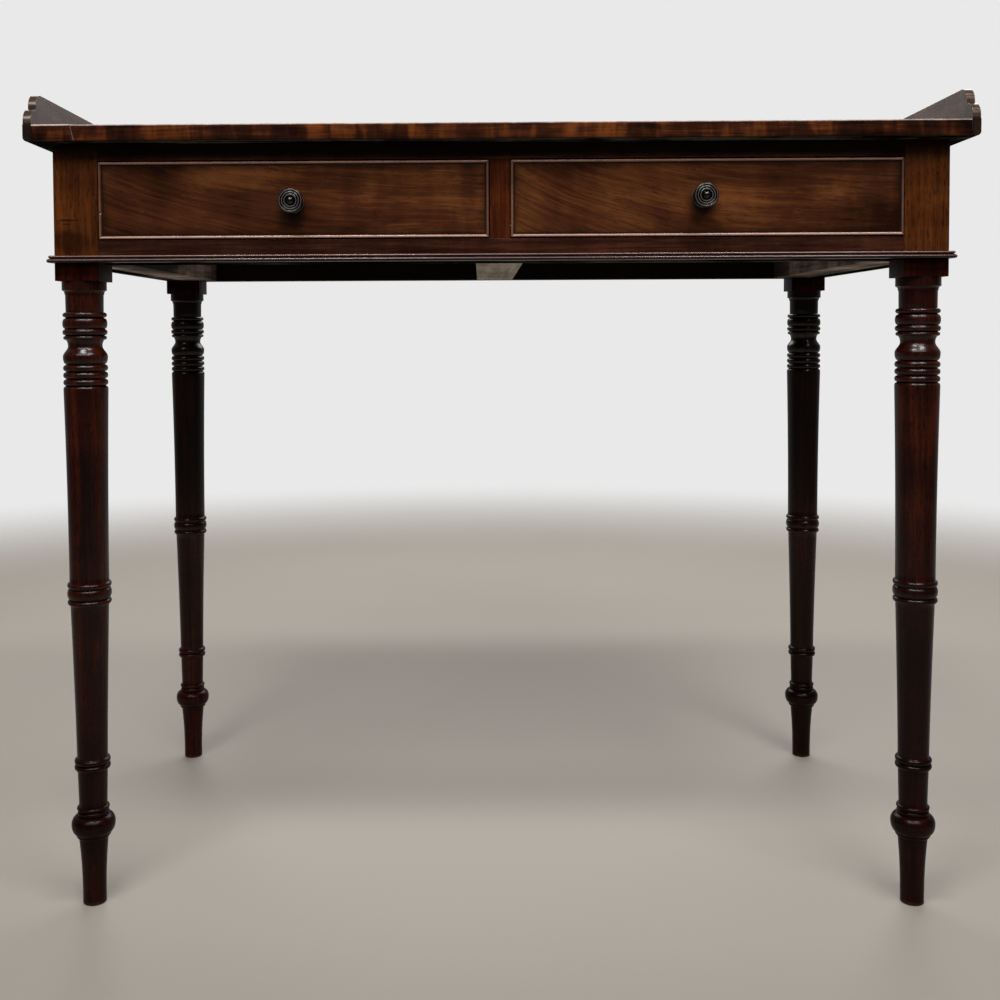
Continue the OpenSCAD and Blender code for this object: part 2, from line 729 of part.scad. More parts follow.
// Turned knob on a spigot, drawn with z standing out from the drawer front
face_z = knob_proud - 4.4;
knob_r = knob_d / 2;
flange_r = knob_flange_d / 2;
neck_r = knob_neck_d / 2;
dome_r = knob_r - 3 * face_ring - 0.7;
knob_curve = concat(
    [[0, -spigot_l], [spigot_d / 2, -spigot_l], [spigot_d / 2, 0]],
    [[flange_r - 0.8, 0]],
    arc([flange_r - 1.4, 1.6], [1.4, 1.2], -60, 80, 6),
    arc([flange_r - 1.6, 7.6], [neck_r - flange_r + 1.6, 4.4], -70, 0, 6),
    arc([knob_r - 0.6, 9], [neck_r - knob_r + 0.6, face_z - 12.6], 0, 90, 6),
    arc([knob_r - 1.5, face_z - 1.8], [1.5, 1.8], -80, 70, 8),
    [for (k = [0:2]) let (r = knob_r - 0.1 - face_ring * (k + 0.5))
        each arc([r, face_z + 0.3 * k], [face_ring / 2, 0.9], 10, 170, 6)],
    [[dome_r + 0.3, face_z + 0.2]],
    arc([0, face_z + 0.6], [dome_r, knob_proud - face_z - 0.6], 8, 90, 8)
);
module turned_knob(side) knob_place(side) rotate([90, 0, 0]) rotate_extrude() polygon(knob_curve);

// Puts a drawer piece in its opening: side is -1 for the left drawer and 1 for the right one,
// and the outer pieces of the right drawer are the mirror images of those of the left one
module in_drawer(side) seated() translate([side * opening_mid, 0, 0]) handed(side) children();

module top_board() color(mahogany) seated() main_board();
module top_corner_patch() color(mahogany) seated() corner_patch();
module top_strip_left() color(dark_mahogany) seated() handed(-1) end_strip();
module top_strip_right() color(dark_mahogany) seated() end_strip();
module gallery_left() color(dark_mahogany) seated() handed(-1) gallery_side();
module gallery_right() color(dark_mahogany) seated() gallery_side();
module gallery_back() color(dark_mahogany) seated() gallery_rear();
module leg_front_left() color(dark_mahogany) seated() handed(-1) front_leg();
module leg_front_right() color(dark_mahogany) seated() front_leg();
module leg_rear_left() color(dark_mahogany) seated() handed(-1) rear_leg();
module leg_rear_right() color(dark_mahogany) seated() rear_leg();
module rail_top() color(mahogany) seated() drawer_rail_top();
module rail_bottom() color(mahogany) seated() drawer_rail_bottom();
module muntin() color(mahogany) seated() middle_upright();
module side_frieze_left() color(mahogany) seated() handed(-1) side_frieze();
module side_frieze_right() color(mahogany) seated() side_frieze();
module back_frieze() color(deal) seated() rear_frieze();
module bead_front() color(dark_mahogany) seated() front_bead();
module bead_left() color(dark_mahogany) seated() handed(-1) side_bead();
module bead_right() color(dark_mahogany) seated() side_bead();
module runner_left() color(deal) seated() handed(-1) side_runner();
module runner_right() color(deal) seated() side_runner();
module bearer() color(deal) seated() middle_bearer();
module guide_left() color(deal) seated() handed(-1) side_guide();
module guide_right() color(deal) seated() side_guide();
module guide_middle() color(deal) seated() middle_guide();
module kicker_left() color(deal) seated() handed(-1) side_kicker();
module kicker_right() color(deal) seated() side_kicker();
module kicker_middle() color(deal) seated() middle_kicker();
module drawer_stops() color(mahogany) seated() stops();
module glue_blocks() color(deal) seated() blocks();
module top_screws() color(iron) seated() screws();

module drawer_front_left() color(figured) in_drawer(-1) drawer_face(-1);
module cock_top_left() color(mahogany) in_drawer(-1) cock_top();
module cock_bottom_left() color(mahogany) in_drawer(-1) cock_bottom();
module cock_outer_left() color(mahogany) in_drawer(-1) cock_end();
module cock_inner_left() color(mahogany) in_drawer(-1) handed(-1) cock_end();
module drawer_side_outer_left() color(oak) in_drawer(-1) drawer_side();
module drawer_side_inner_left() color(oak) in_drawer(-1) handed(-1) drawer_side();
module drawer_back_left() color(oak) in_drawer(-1) nailed_rear();
module drawer_bottom_left() color(oak) in_drawer(-1) nailed_base();
module drawer_nails_left() color(iron) in_drawer(-1) nails();
module knob_left() color(ebonised) in_drawer(-1) turned_knob(-1);

module drawer_front_right() color(figured) in_drawer(1) drawer_face(1);
module cock_top_right() color(mahogany) in_drawer(1) cock_top();
module cock_bottom_right() color(mahogany) in_drawer(1) cock_bottom();
module cock_outer_right() color(mahogany) in_drawer(1) cock_end();
module cock_inner_right() color(mahogany) in_drawer(1) handed(-1) cock_end();
module drawer_side_outer_right() color(oak) in_drawer(1) drawer_side();
module drawer_side_inner_right() color(oak) in_drawer(1) handed(-1) drawer_side();
module drawer_back_right() color(oak) in_drawer(1) nailed_rear();
module drawer_bottom_right() color(oak) in_drawer(1) nailed_base();
module drawer_nails_right() color(iron) in_drawer(1) nails();
module knob_right() color(ebonised) in_drawer(1) turned_knob(1);

top_board();
top_corner_patch();
top_strip_left();
top_strip_right();
gallery_left();
gallery_right();
gallery_back();
leg_front_left();
leg_front_right();
leg_rear_left();
leg_rear_right();
rail_top();
rail_bottom();
muntin();
side_frieze_left();
side_frieze_right();
back_frieze();
bead_front();
bead_left();
bead_right();
runner_left();
runner_right();
bearer();
guide_left();
guide_right();
guide_middle();
kicker_left();
kicker_right();
kicker_middle();
drawer_stops();
glue_blocks();
top_screws();
drawer_front_left();
cock_top_left();
cock_bottom_left();
cock_outer_left();
cock_inner_left();
drawer_side_outer_left();
drawer_side_inner_left();
drawer_back_left();
drawer_bottom_left();
drawer_nails_left();
knob_left();
drawer_front_right();
cock_top_right();
cock_bottom_right();
cock_outer_right();
cock_inner_right();
drawer_side_outer_right();
drawer_side_inner_right();
drawer_back_right();
drawer_bottom_right();
drawer_nails_right();
knob_right();
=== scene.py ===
"""Two-drawer mahogany writing table: its turned and eased pieces, finishes, light and camera."""
import logging
import math
import random
from contextlib import contextmanager
from dataclasses import dataclass, field, replace
from enum import Enum
from typing import Iterator, Sequence

import bpy
from mathutils import Matrix, Vector


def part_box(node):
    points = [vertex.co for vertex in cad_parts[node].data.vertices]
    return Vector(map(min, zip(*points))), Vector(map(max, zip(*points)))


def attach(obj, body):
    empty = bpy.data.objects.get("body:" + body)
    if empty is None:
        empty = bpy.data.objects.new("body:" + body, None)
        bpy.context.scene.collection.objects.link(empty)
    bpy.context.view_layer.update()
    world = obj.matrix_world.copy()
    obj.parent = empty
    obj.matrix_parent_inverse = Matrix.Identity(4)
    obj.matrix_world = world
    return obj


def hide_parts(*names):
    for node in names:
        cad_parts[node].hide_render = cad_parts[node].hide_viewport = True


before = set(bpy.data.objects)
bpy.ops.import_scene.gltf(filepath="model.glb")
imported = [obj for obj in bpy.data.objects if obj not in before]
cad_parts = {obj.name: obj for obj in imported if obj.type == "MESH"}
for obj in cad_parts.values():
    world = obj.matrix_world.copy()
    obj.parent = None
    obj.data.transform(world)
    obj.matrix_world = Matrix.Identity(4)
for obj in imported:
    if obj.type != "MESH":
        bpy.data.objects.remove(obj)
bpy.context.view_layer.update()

log = logging.getLogger("writing_table")
MM = 0.001
X, Y, Z = range(3)
WELD = 0.002 * MM
ARRIS_ANGLE = math.radians(40)

Colour = tuple[int, int, int]
Point = tuple[float, float, float]
Profile = list[tuple[float, float]]
Material = bpy.types.Material
Node = bpy.types.Node
Piece = bpy.types.Object
Socket = bpy.types.NodeSocket
Tree = bpy.types.NodeTree


def linear(colour: Colour) -> tuple[float, float, float, float]:
    """Turns a display colour of 0 to 255 into the linear colour that shaders use.

    Args:
        colour: red, green and blue as seen on a screen.

    Returns:
        The linear colour, with an alpha of 1.
    """
    def channel(value: float) -> float:
        """One channel of the colour, from display to linear."""
        share = value / 255
        return share / 12.92 if share <= 0.04045 else ((share + 0.055) / 1.055) ** 2.4

    return (channel(colour[0]), channel(colour[1]), channel(colour[2]), 1.0)


class GrainAlong(Enum):
    """The way that the grain of a piece runs, as the turn that brings it to X."""

    WIDTH = (0.0, 0.0, 0.0)
    DEPTH = (0.0, 0.0, -math.pi / 2)
    HEIGHT = (0.0, math.pi / 2, 0.0)

    @property
    def axis(self) -> int:
        """The axis that the grain follows: X, Y or Z."""
        return list(GrainAlong).index(self)


class Wiring:
    """Adds shader nodes to one node tree and links them in the order they are made."""

    def __init__(self, tree: Tree) -> None:
        """Takes the tree that the nodes go into."""
        self.tree = tree
        self.column = 0

    def node(self, kind: str, *feeds: object, **settings: object) -> Node:
        """Adds a node.

        Args:
            kind: the node's Blender type, without the leading ShaderNode.
            feeds: what goes into its first inputs, in their order.
            settings: properties of the node, by name.

        Returns:
            The new node.
        """
        made = self.tree.nodes.new(kind if kind.startswith("Node") else "ShaderNode" + kind)
        made.location = (180 * self.column, -160 * (self.column % 4))
        self.column += 1
        for name, value in settings.items():
            setattr(made, name, value)
        for socket, value in zip(made.inputs, feeds):
            self.feed(socket, value)
        return made

    def feed(self, socket: Socket, value: object) -> None:
        """Links a socket to an input, or writes a constant in it.

        Args:
            socket: the input.
            value: another node's output, or a number, colour or vector.
        """
        if isinstance(value, Socket):
            self.tree.links.new(value, socket)
        else:
            socket.default_value = value

    def fill(self, node: Node, **values: object) -> Node:
        """Feeds a node's inputs by name.

        Args:
            node: the node to feed.
            values: what goes into each input, with _ for a space in its name.

        Returns:
            The same node.
        """
        for name, value in values.items():
            self.feed(node.inputs[name.replace("_", " ")], value)
        return node

    def math(self, operation: str, *values: object, clamp: bool = False) -> Socket:
        """One step of arithmetic on sockets or numbers, and its result."""
        return self.node("Math", *values, operation=operation, use_clamp=clamp).outputs[0]

    def plus(self, first: object, second: object, clamp: bool = False) -> Socket:
        """The sum of two values."""
        return self.math("ADD", first, second, clamp=clamp)

    def minus(self, first: object, second: object, clamp: bool = False) -> Socket:
        """The first value less the second."""
        return self.math("SUBTRACT", first, second, clamp=clamp)

    def times(self, first: object, second: object, clamp: bool = False) -> Socket:
        """The product of two values."""
        return self.math("MULTIPLY", first, second, clamp=clamp)

    def most(self, first: object, second: object) -> Socket:
        """The larger of two values."""
        return self.math("MAXIMUM", first, second)

    def vector(self, operation: str, *values: object) -> Socket:
        """One step of vector arithmetic, and its result."""
        made = self.node("VectorMath", *values, operation=operation)
        return made.outputs["Value" if operation in ("DOT_PRODUCT", "LENGTH") else "Vector"]

    def scaled(self, vector: object, factors: object) -> Socket:
        """A vector with each part multiplied by its own factor."""
        return self.vector("MULTIPLY", vector, factors)

    def split(self, vector: object) -> list[Socket]:
        """The X, Y and Z of a vector."""
        return list(self.node("SeparateXYZ", vector).outputs)

    def join(self, x: object, y: object, z: object) -> Socket:
        """A vector made of three values."""
        return self.node("CombineXYZ", x, y, z).outputs[0]

    def spread(self, value: object, low: object, high: object, to_low: object = 0.0,
               to_high: object = 1.0) -> Socket:
        """Maps the range from low to high smoothly on the one from to_low to to_high."""
        made = self.node("MapRange", value, low, high, to_low, to_high, interpolation_type="SMOOTHSTEP")
        return made.outputs[0]

    def noise(self, vector: object, scale: object, detail: float = 3.0, rough: float = 0.55,
              distortion: float = 0.0) -> Socket:
        """A soft random pattern and its value."""
        return self.fill(self.node("TexNoise"), Vector=vector, Scale=scale, Detail=detail, Roughness=rough,
                         Distortion=distortion).outputs["Fac"]

    def swing(self, vector: object, scale: float, detail: float, rough: float, size: object) -> Socket:
        """A soft random value about 0, between plus and minus half of size."""
        return self.times(self.minus(self.noise(vector, scale, detail, rough), 0.5), size)

    def mix(self, factor: object, first: object, second: object) -> Socket:
        """Mixes two colours, with the second one alone where the factor is 1."""
        made = self.node("Mix", data_type="RGBA")
        for index, value in ((0, factor), (6, first), (7, second)):
            self.feed(made.inputs[index], value)
        return made.outputs[2]


def fresh(owner: bpy.types.Material | bpy.types.World) -> Wiring:
    """Clears the nodes of a new material or world.

    Args:
        owner: the material or world.

    Returns:
        The wiring of its empty tree.
    """
    owner.use_nodes = True
    owner.node_tree.nodes.clear()
    return Wiring(owner.node_tree)


class Pattern(Enum):
    """The patterns that several finishes share, each a node group."""

    GRAIN = "wood grain"
    MOTTLE = "cross figure"
    RUBBED = "rubbed arrises"
    SOIL = "soil in the hollows"
    BORDER = "soil along a border"
    HANDLED = "uneven polish"
    MARK = "soft mark"


class PatternStore:
    """Builds each shared pattern once, as a node group, and hands it out."""

    def __init__(self) -> None:
        """Starts with no pattern made."""
        self.made: dict[Pattern, Tree] = {}

    def place(self, wiring: Wiring, pattern: Pattern, **values: object) -> Node:
        """Puts a pattern in a material.

        Args:
            wiring: the material's wiring.
            pattern: which pattern, made by the method of its name.
            values: the group's inputs by name, with _ for a space.

        Returns:
            The group node.
        """
        if pattern not in self.made:
            self.made[pattern] = getattr(self, pattern.name.lower())()
        return wiring.fill(wiring.node("Group", node_tree=self.made[pattern]), **values)

    @staticmethod
    def start(pattern: Pattern, vectors: str, values: str,
              outputs: str) -> tuple[Wiring, dict[str, Socket], Node]:
        """Starts a node group.

        Args:
            pattern: the pattern it holds.
            vectors: the names of its vector inputs, with _ for a space.
            values: the names of its number inputs, with _ for a space.
            outputs: the names of its outputs, all numbers.

        Returns:
            The group's wiring, its inputs by name, and its output node.
        """
        tree = bpy.data.node_groups.new(pattern.value, "ShaderNodeTree")
        for names, way, kind in (
                (vectors, "INPUT", "Vector"), (values, "INPUT", "Float"), (outputs, "OUTPUT", "Float")):
            for name in names.split():
                tree.interface.new_socket(
                    name=name.replace("_", " "), in_out=way, socket_type="NodeSocket" + kind)
        wiring = Wiring(tree)
        entry = wiring.node("NodeGroupInput")
        return wiring, {s.name: s for s in entry.outputs if s.name}, wiring.node("NodeGroupOutput")

    def grain(self) -> Tree:
        """Streaks, fibres and pores along X, which may sweep down across the piece, and their relief.

        Returns:
            The node group.
        """
        w, given, out = self.start(
            Pattern.GRAIN, "Vector", "Streaks Stretch Waver Sweep_Start Sweep_Length Sweep_Drop Pore_Level",
            "Streak Fibre Pore Height")
        vector, level, waver = given["Vector"], given["Pore Level"], given["Waver"]
        from_start = w.minus(w.split(vector)[X], given["Sweep Start"])
        rest = w.minus(1.0, w.math("DIVIDE", from_start, given["Sweep Length"], clamp=True))
        drop = w.times(w.minus(1.0, w.times(rest, rest)), given["Sweep Drop"])
        slow = w.swing(w.scaled(vector, (0.45, 1.0, 1.0)), 11.0, 2.0, 0.55, waver)
        slow_two = w.swing(w.scaled(vector, (0.5, 1.3, 1.3)), 15.0, 2.0, 0.55, waver)
        wavered = w.vector("ADD", vector, w.join(0.0, slow_two, w.plus(slow, drop)))
        drawn = w.scaled(wavered, w.join(w.math("DIVIDE", 1.0, given["Stretch"]), 1.0, 1.0))
        fine = w.noise(drawn, given["Streaks"], 5.0, 0.62, 0.25)
        broad = w.noise(drawn, w.times(given["Streaks"], 0.24), 2.0, 0.5, 0.4)
        streak = w.plus(w.times(fine, 0.6), w.times(broad, 0.4))
        fibre = w.noise(w.scaled(wavered, (0.02, 1.0, 1.0)), 700.0, 2.0, 0.7)
        pore = w.noise(w.scaled(wavered, (0.13, 1.0, 1.0)), 900.0, 1.0, 0.5)
        pore = w.spread(pore, level, w.plus(level, 0.1))
        relief = w.minus(w.plus(w.times(fibre, 0.5), w.times(fine, 0.5)), w.times(pore, 0.6))
        w.fill(out, Streak=w.spread(streak, 0.34, 0.66), Fibre=w.spread(fibre, 0.3, 0.7), Pore=pore,
               Height=relief)
        return w.tree

    def mottle(self) -> Tree:
        """Soft light and dark patches that lie across the grain, which runs along X.

        Returns:
            The node group.
        """
        w, given, out = self.start(Pattern.MOTTLE, "Vector", "Scale", "Light")
        vector, scale = given["Vector"], given["Scale"]
        wide = w.noise(w.scaled(vector, (1.0, 0.35, 0.35)), scale, 3.0, 0.6, 0.8)
        narrow = w.noise(w.scaled(vector, (1.0, 0.2, 0.2)), w.times(scale, 4.0), 2.0, 0.5, 0.5)
        w.fill(out, Light=w.spread(w.plus(w.times(wide, 0.7), w.times(narrow, 0.3)), 0.38, 0.64))
        return w.tree

    def rubbed(self) -> Tree:
        """Where hands and dusters have worn the arrises, in patches.

        Returns:
            The node group.
        """
        w, given, out = self.start(Pattern.RUBBED, "Vector", "Radius Amount", "Rubbed")
        rounded = w.node("Bevel", given["Radius"], samples=6).outputs[0]
        facing = w.node("NewGeometry").outputs["Normal"]
        edge = w.spread(w.minus(1.0, w.vector("DOT_PRODUCT", rounded, facing)), 0.015, 0.16)
        patches = w.spread(w.noise(given["Vector"], 46.0, 3.0, 0.6), 0.36, 0.62)
        specks = w.spread(w.noise(given["Vector"], 420.0, 2.0, 0.6), 0.3, 0.6, 0.45, 1.0)
        w.fill(out, Rubbed=w.times(w.times(w.times(edge, patches), specks), given["Amount"], clamp=True))
        return w.tree

    def soil(self) -> Tree:
        """Old polish and dirt in grooves and inner corners of the piece itself.

        Returns:
            The node group.
        """
        w, given, out = self.start(Pattern.SOIL, "Vector", "Reach Amount", "Soil")
        hollow = w.fill(w.node("AmbientOcclusion", samples=6, only_local=True), Distance=given["Reach"])
        depth = w.spread(hollow.outputs["AO"], 0.45, 0.95, 1.0, 0.0)
        patches = w.spread(w.noise(given["Vector"], 90.0, 3.0, 0.6), 0.25, 0.6, 0.55, 1.0)
        w.fill(out, Soil=w.times(w.times(depth, patches), given["Amount"], clamp=True))
        return w.tree

    def border(self) -> Tree:
        """A soft dark border inside an upright panel, seen from the front.

        Returns:
            The node group.
        """
        w, given, out = self.start(Pattern.BORDER, "Vector Centre Half_Size", "Width Amount Line", "Soil")
        offset = w.vector("ABSOLUTE", w.vector("SUBTRACT", given["Vector"], given["Centre"]))
        inward = w.split(w.vector("SUBTRACT", given["Half Size"], offset))
        nearest = w.math("MINIMUM", inward[X], inward[Z])
        ragged = w.plus(nearest, w.swing(given["Vector"], 70.0, 4.0, 0.65, w.times(given["Width"], 0.9)))
        soil = w.minus(1.0, w.math("DIVIDE", ragged, given["Width"], clamp=True), clamp=True)
        soft = w.times(w.times(soil, soil), given["Amount"], clamp=True)
        # The black line next to the edge is painted shadow, where the cock bead meets the front.
        line = w.spread(nearest, w.times(given["Line"], 0.3), given["Line"], 0.92, 0.0)
        w.fill(out, Soil=w.most(soft, line))
        return w.tree

    def handled(self) -> Tree:
        """Slow changes of tone and gloss, and small specks of dirt.

        Returns:
            The node group.
        """
        w, given, out = self.start(Pattern.HANDLED, "Vector", "Scale", "Tone Gloss Specks")
        vector, scale = given["Vector"], given["Scale"]
        smears = w.noise(w.vector("ADD", vector, (3.1, 1.7, 0.4)), w.times(scale, 3.0), 4.0, 0.65)
        w.fill(out, Tone=w.spread(w.noise(vector, scale, 4.0, 0.6, 0.6), 0.32, 0.68),
               Gloss=w.spread(smears, 0.3, 0.7),
               Specks=w.spread(w.noise(vector, 330.0, 2.0, 0.5), 0.68, 0.76))
        return w.tree

    def mark(self) -> Tree:
        """A soft spot, line, band or ring round a centre, with a ragged border.

        Returns:
            The node group.
        """
        w, given, out = self.start(
            Pattern.MARK, "Vector Centre Weights", "Lean Reach Amount Ragged Ring", "Mask")
        reach = given["Reach"]
        x, y, z = w.split(w.vector("SUBTRACT", given["Vector"], given["Centre"]))
        leaned = w.join(w.minus(x, w.times(z, given["Lean"])), y, z)
        distance = w.vector("LENGTH", w.scaled(leaned, given["Weights"]))
        away = w.math("ABSOLUTE", w.minus(distance, given["Ring"]))
        uneven = w.swing(given["Vector"], 75.0, 4.0, 0.65, w.times(reach, given["Ragged"]))
        w.fill(out, Mask=w.spread(w.plus(away, uneven), w.times(reach, 0.25), reach, given["Amount"], 0.0))
        return w.tree


@dataclass(frozen=True)
class WoodFinish:
    """A wood and its surface, polished or bare.

    The colours are as seen in plain light. Streaks are counted per metre across the grain. The coat of
    polish comes up from nearly none to its full weight between the two heights of coat_rise.
    """

    name: str
    dark: Colour
    middle: Colour
    light: Colour
    # The rubbed colour also paints highlights, under the pale bands and marks that stand for them.
    rubbed: Colour
    # The soil colour also paints shade, under the dark bands and marks that stand for it.
    soil: Colour = (8, 4, 3)
    streaks: float = 60.0
    stretch: float = 16.0
    waver: float = 0.006
    contrast: float = 0.6
    mottle: float = 0.2
    mottle_scale: float = 26.0
    pores: float = 0.25
    pore_level: float = 0.6
    roughness: float = 0.27
    coat: float = 0.1
    coat_roughness: float = 0.16
    coat_rise: tuple[float, float] = (-2.0, -1.0)
    specular: float = 0.14
    sheen_tint: Colour = (255, 226, 214)
    rub: float = 0.7
    rub_radius: float = 0.0009
    soil_amount: float = 0.8
    soil_reach: float = 0.004
    relief: float = 0.00004
    tone_swing: float = 0.3


@dataclass(frozen=True)
class Sweep:
    """Grain that falls across a board: where the fall starts along X, its length and how far it drops."""

    start: float = -10.0
    length: float = 1.0
    drop: float = 0.0


@dataclass(frozen=True)
class Panel:
    """The front of an upright panel with a soft dark border and a black line round it."""

    centre: Point
    half_size: Point
    border: float = 0.01
    # The black line is painted shadow, where the cock bead meets the front.
    line: float = 0.0023


class Effect(Enum):
    """What a band or a mark does to the wood under it."""

    # SOIL also stands for painted shade and painted shadow: under the top and the bead, on the legs, in the
    # bead's groove, under the knobs and inside the carcase.
    SOIL = "dark with dirt and old polish"
    # WORN also stands for painted highlights: along the top's front arris, on the crests of the double bead
    # and on the noses of the cock beads.
    WORN = "rubbed pale"
    # GLOW also stands for painted light in a band round the front legs, and SHADE for painted shade on the
    # right legs.
    GLOW = "lighter figure"
    SHADE = "darker figure"


@dataclass(frozen=True)
class Band:
    """A stretch along an axis over which a piece turns darker, or pale, from high to low: darker bands are
    mostly painted shade, pale ones wear and painted highlight.
    """

    high: float
    low: float
    amount: float
    effect: Effect = Effect.SOIL
    axis: int = Z


@dataclass(frozen=True)
class Mark:
    """A soft spot or line on a piece.

    Distances from the centre count by the weights along X, Y and Z, so a weight of 0 draws it out along that
    axis. The lean moves it along X as the height grows, and a ring radius makes it a ring.
    """

    effect: Effect
    centre: Point
    weights: Point
    reach: float
    amount: float
    lean: float = 0.0
    ragged: float = 0.5
    ring: float = 0.0

    @classmethod
    def across(cls, effect: Effect, x: float, reach: float, amount: float, z: float = 0.0,
               **more: float) -> "Mark":
        """A line or band across a board at one X."""
        return cls(effect, (x, 0.0, z), (1.0, 0.0, 0.0), reach, amount, **more)

    @classmethod
    def level(cls, effect: Effect, z: float, reach: float, amount: float, **more: float) -> "Mark":
        """A line or band round a piece at one height."""
        return cls(effect, (0.0, 0.0, z), (0.0, 0.0, 1.0), reach, amount, **more)

    @classmethod
    def cloud(cls, effect: Effect, x: float, z: float, narrow: float, reach: float, amount: float,
              **more: float) -> "Mark":
        """A patch through a board, drawn out along X the more, the less narrow is."""
        return cls(effect, (x, 0.0, z), (narrow, 0.0, 1.0), reach, amount, **more)


@dataclass
class WoodSurface:
    """A finish as it lies on one board or a set of boards, while its material is wired."""

    patterns: PatternStore
    finish: WoodFinish
    along: GrainAlong
    seed: float
    sweep: Sweep = Sweep()
    panel: Panel | None = None
    bands: Sequence[Band] = ()
    marks: Sequence[Mark] = ()

    def material(self) -> Material:
        """Wires the whole material.

        Returns:
            The material.
        """
        finish = self.finish
        made = bpy.data.materials.new(f"{finish.name}_{self.along.name.lower()}_{int(self.seed * 10)}")
        made.diffuse_color = linear(finish.middle)
        self.w = w = fresh(made)
        self.place = w.node("TexCoord").outputs["Object"]
        shift = (0.0, 0.0, 0.0) if self.sweep.drop else (self.seed, self.seed * 0.7, self.seed * 1.3)
        turned = w.fill(
            w.node("Mapping"), Vector=self.place, Location=shift, Rotation=self.along.value).outputs[0]
        grain = self.pattern(
            Pattern.GRAIN, Vector=turned, Streaks=finish.streaks, Stretch=finish.stretch, Waver=finish.waver,
            Sweep_Start=self.sweep.start, Sweep_Length=self.sweep.length, Sweep_Drop=self.sweep.drop,
            Pore_Level=finish.pore_level)
        mottle = self.pattern(Pattern.MOTTLE, Vector=turned, Scale=finish.mottle_scale)
        handled = self.pattern(Pattern.HANDLED, Vector=self.place, Scale=7.0)
        soil = self.soil()
        colour = w.mix(soil, self.bare_colour(grain, mottle[0], handled["Tone"]), linear(finish.soil))
        colour = w.mix(w.times(handled["Specks"], 0.35), colour, linear(finish.soil))
        colour = w.mix(self.rubbed(), colour, linear(finish.rubbed))
        rough = w.plus(w.times(handled["Gloss"], 0.12), finish.roughness - 0.06)
        rough = w.plus(rough, w.times(grain["Pore"], 0.1))
        rough = w.plus(rough, w.times(w.math("POWER", soil, 4.0), 0.5), clamp=True)
        coat = w.spread(w.split(self.place)[Z], *finish.coat_rise, finish.coat * 0.15, finish.coat)
        bump = w.fill(w.node("Bump"), Strength=0.6, Distance=finish.relief, Height=grain["Height"])
        surface = w.fill(
            w.node("BsdfPrincipled"), Base_Color=colour, Roughness=rough, Normal=bump.outputs[0],
            Coat_Weight=coat, Specular_IOR_Level=finish.specular, Specular_Tint=linear(finish.sheen_tint),
            Coat_Roughness=finish.coat_roughness)
        w.node("OutputMaterial", surface.outputs[0])
        return made

    def pattern(self, pattern: Pattern, **values: object) -> bpy.types.NodeOutputs:
        """Puts a shared pattern in the material and hands out its outputs."""
        return self.patterns.place(self.w, pattern, **values).outputs

    def bare_colour(self, grain: bpy.types.NodeOutputs, mottle: Socket, tone_change: Socket) -> Socket:
        """The wood's own colour, from its streaks, fibres, pores and figure.

        Args:
            grain: the outputs of the grain.
            mottle: the cross figure.
            tone_change: the slow change of tone.

        Returns:
            The colour.
        """
        w, finish = self.w, self.finish
        tone = 0.5
        for pattern, share in (
                (grain["Streak"], finish.contrast), (grain["Fibre"], 0.2), (mottle, finish.mottle),
                (tone_change, finish.tone_swing)):
            tone = w.plus(tone, w.times(w.minus(pattern, 0.5), share))
        figure = 0.0
        for mark in self.marks:
            if mark.effect is Effect.GLOW:
                figure = w.plus(figure, self.mark_mask(mark))
            if mark.effect is Effect.SHADE:
                figure = w.minus(figure, self.mark_mask(mark))
        ramp = w.node("ValToRGB", w.plus(tone, figure, clamp=True))
        stops = ramp.color_ramp.elements
        stops[0].position, stops[1].position = 0.06, 0.98
        stops[0].color, stops[1].color = linear(finish.dark), linear(finish.light)
        stops.new(0.5).color = linear(finish.middle)
        return w.mix(w.times(grain["Pore"], finish.pores), ramp.outputs[0], linear(finish.soil))

    def soil(self) -> Socket:
        """Where the piece is dark: old polish in its hollows, its panel's border, its bands, which are
        mostly painted shade, and its marks, which are joints, repairs and painted shade.

        Returns:
            The mask.
        """
        soil = self.pattern(
            Pattern.SOIL, Vector=self.place, Reach=self.finish.soil_reach, Amount=self.finish.soil_amount)[0]
        if self.panel:
            soil = self.w.most(soil, self.pattern(
                Pattern.BORDER, Vector=self.place, Centre=self.panel.centre, Half_Size=self.panel.half_size,
                Width=self.panel.border, Amount=0.6, Line=self.panel.line)[0])
        return self.with_changes(soil, Effect.SOIL)

    def rubbed(self) -> Socket:
        """Where the piece is pale: its rubbed arrises, and its pale bands and marks, which are wear and
        painted highlight.

        Returns:
            The mask.
        """
        finish = self.finish
        worn = self.pattern(Pattern.RUBBED, Vector=self.place, Radius=finish.rub_radius, Amount=finish.rub)
        return self.with_changes(worn[0], Effect.WORN)

    def with_changes(self, mask: Socket, effect: Effect) -> Socket:
        """Adds the bands and marks of one effect to a mask, the strongest at each point counting.

        Args:
            mask: the mask so far.
            effect: which bands and marks are added.

        Returns:
            The mask with all of them.
        """
        changes = [(self.band_mask, band) for band in self.bands]
        changes += [(self.mark_mask, mark) for mark in self.marks]
        for make_mask, change in changes:
            if change.effect is effect:
                mask = self.w.most(mask, make_mask(change))
        return mask

    def mark_mask(self, mark: Mark) -> Socket:
        """The mask of one mark."""
        return self.pattern(
            Pattern.MARK, Vector=self.place, Centre=mark.centre, Weights=mark.weights, Lean=mark.lean,
            Reach=mark.reach, Amount=mark.amount, Ragged=mark.ragged, Ring=mark.ring)[0]

    def band_mask(self, band: Band) -> Socket:
        """How far a piece is changed at a place along the band's axis, with an uneven border.

        Args:
            band: the band, which may grow upwards or downwards.

        Returns:
            The mask.
        """
        w = self.w
        height = w.split(self.place)[band.axis]
        level = w.plus(height, w.swing(self.place, 55.0, 3.0, 0.6, abs(band.high - band.low) * 0.6))
        (start, at_start), (end, at_end) = sorted(((band.high, 0.0), (band.low, band.amount)))
        return w.spread(level, start, end, at_start, at_end)


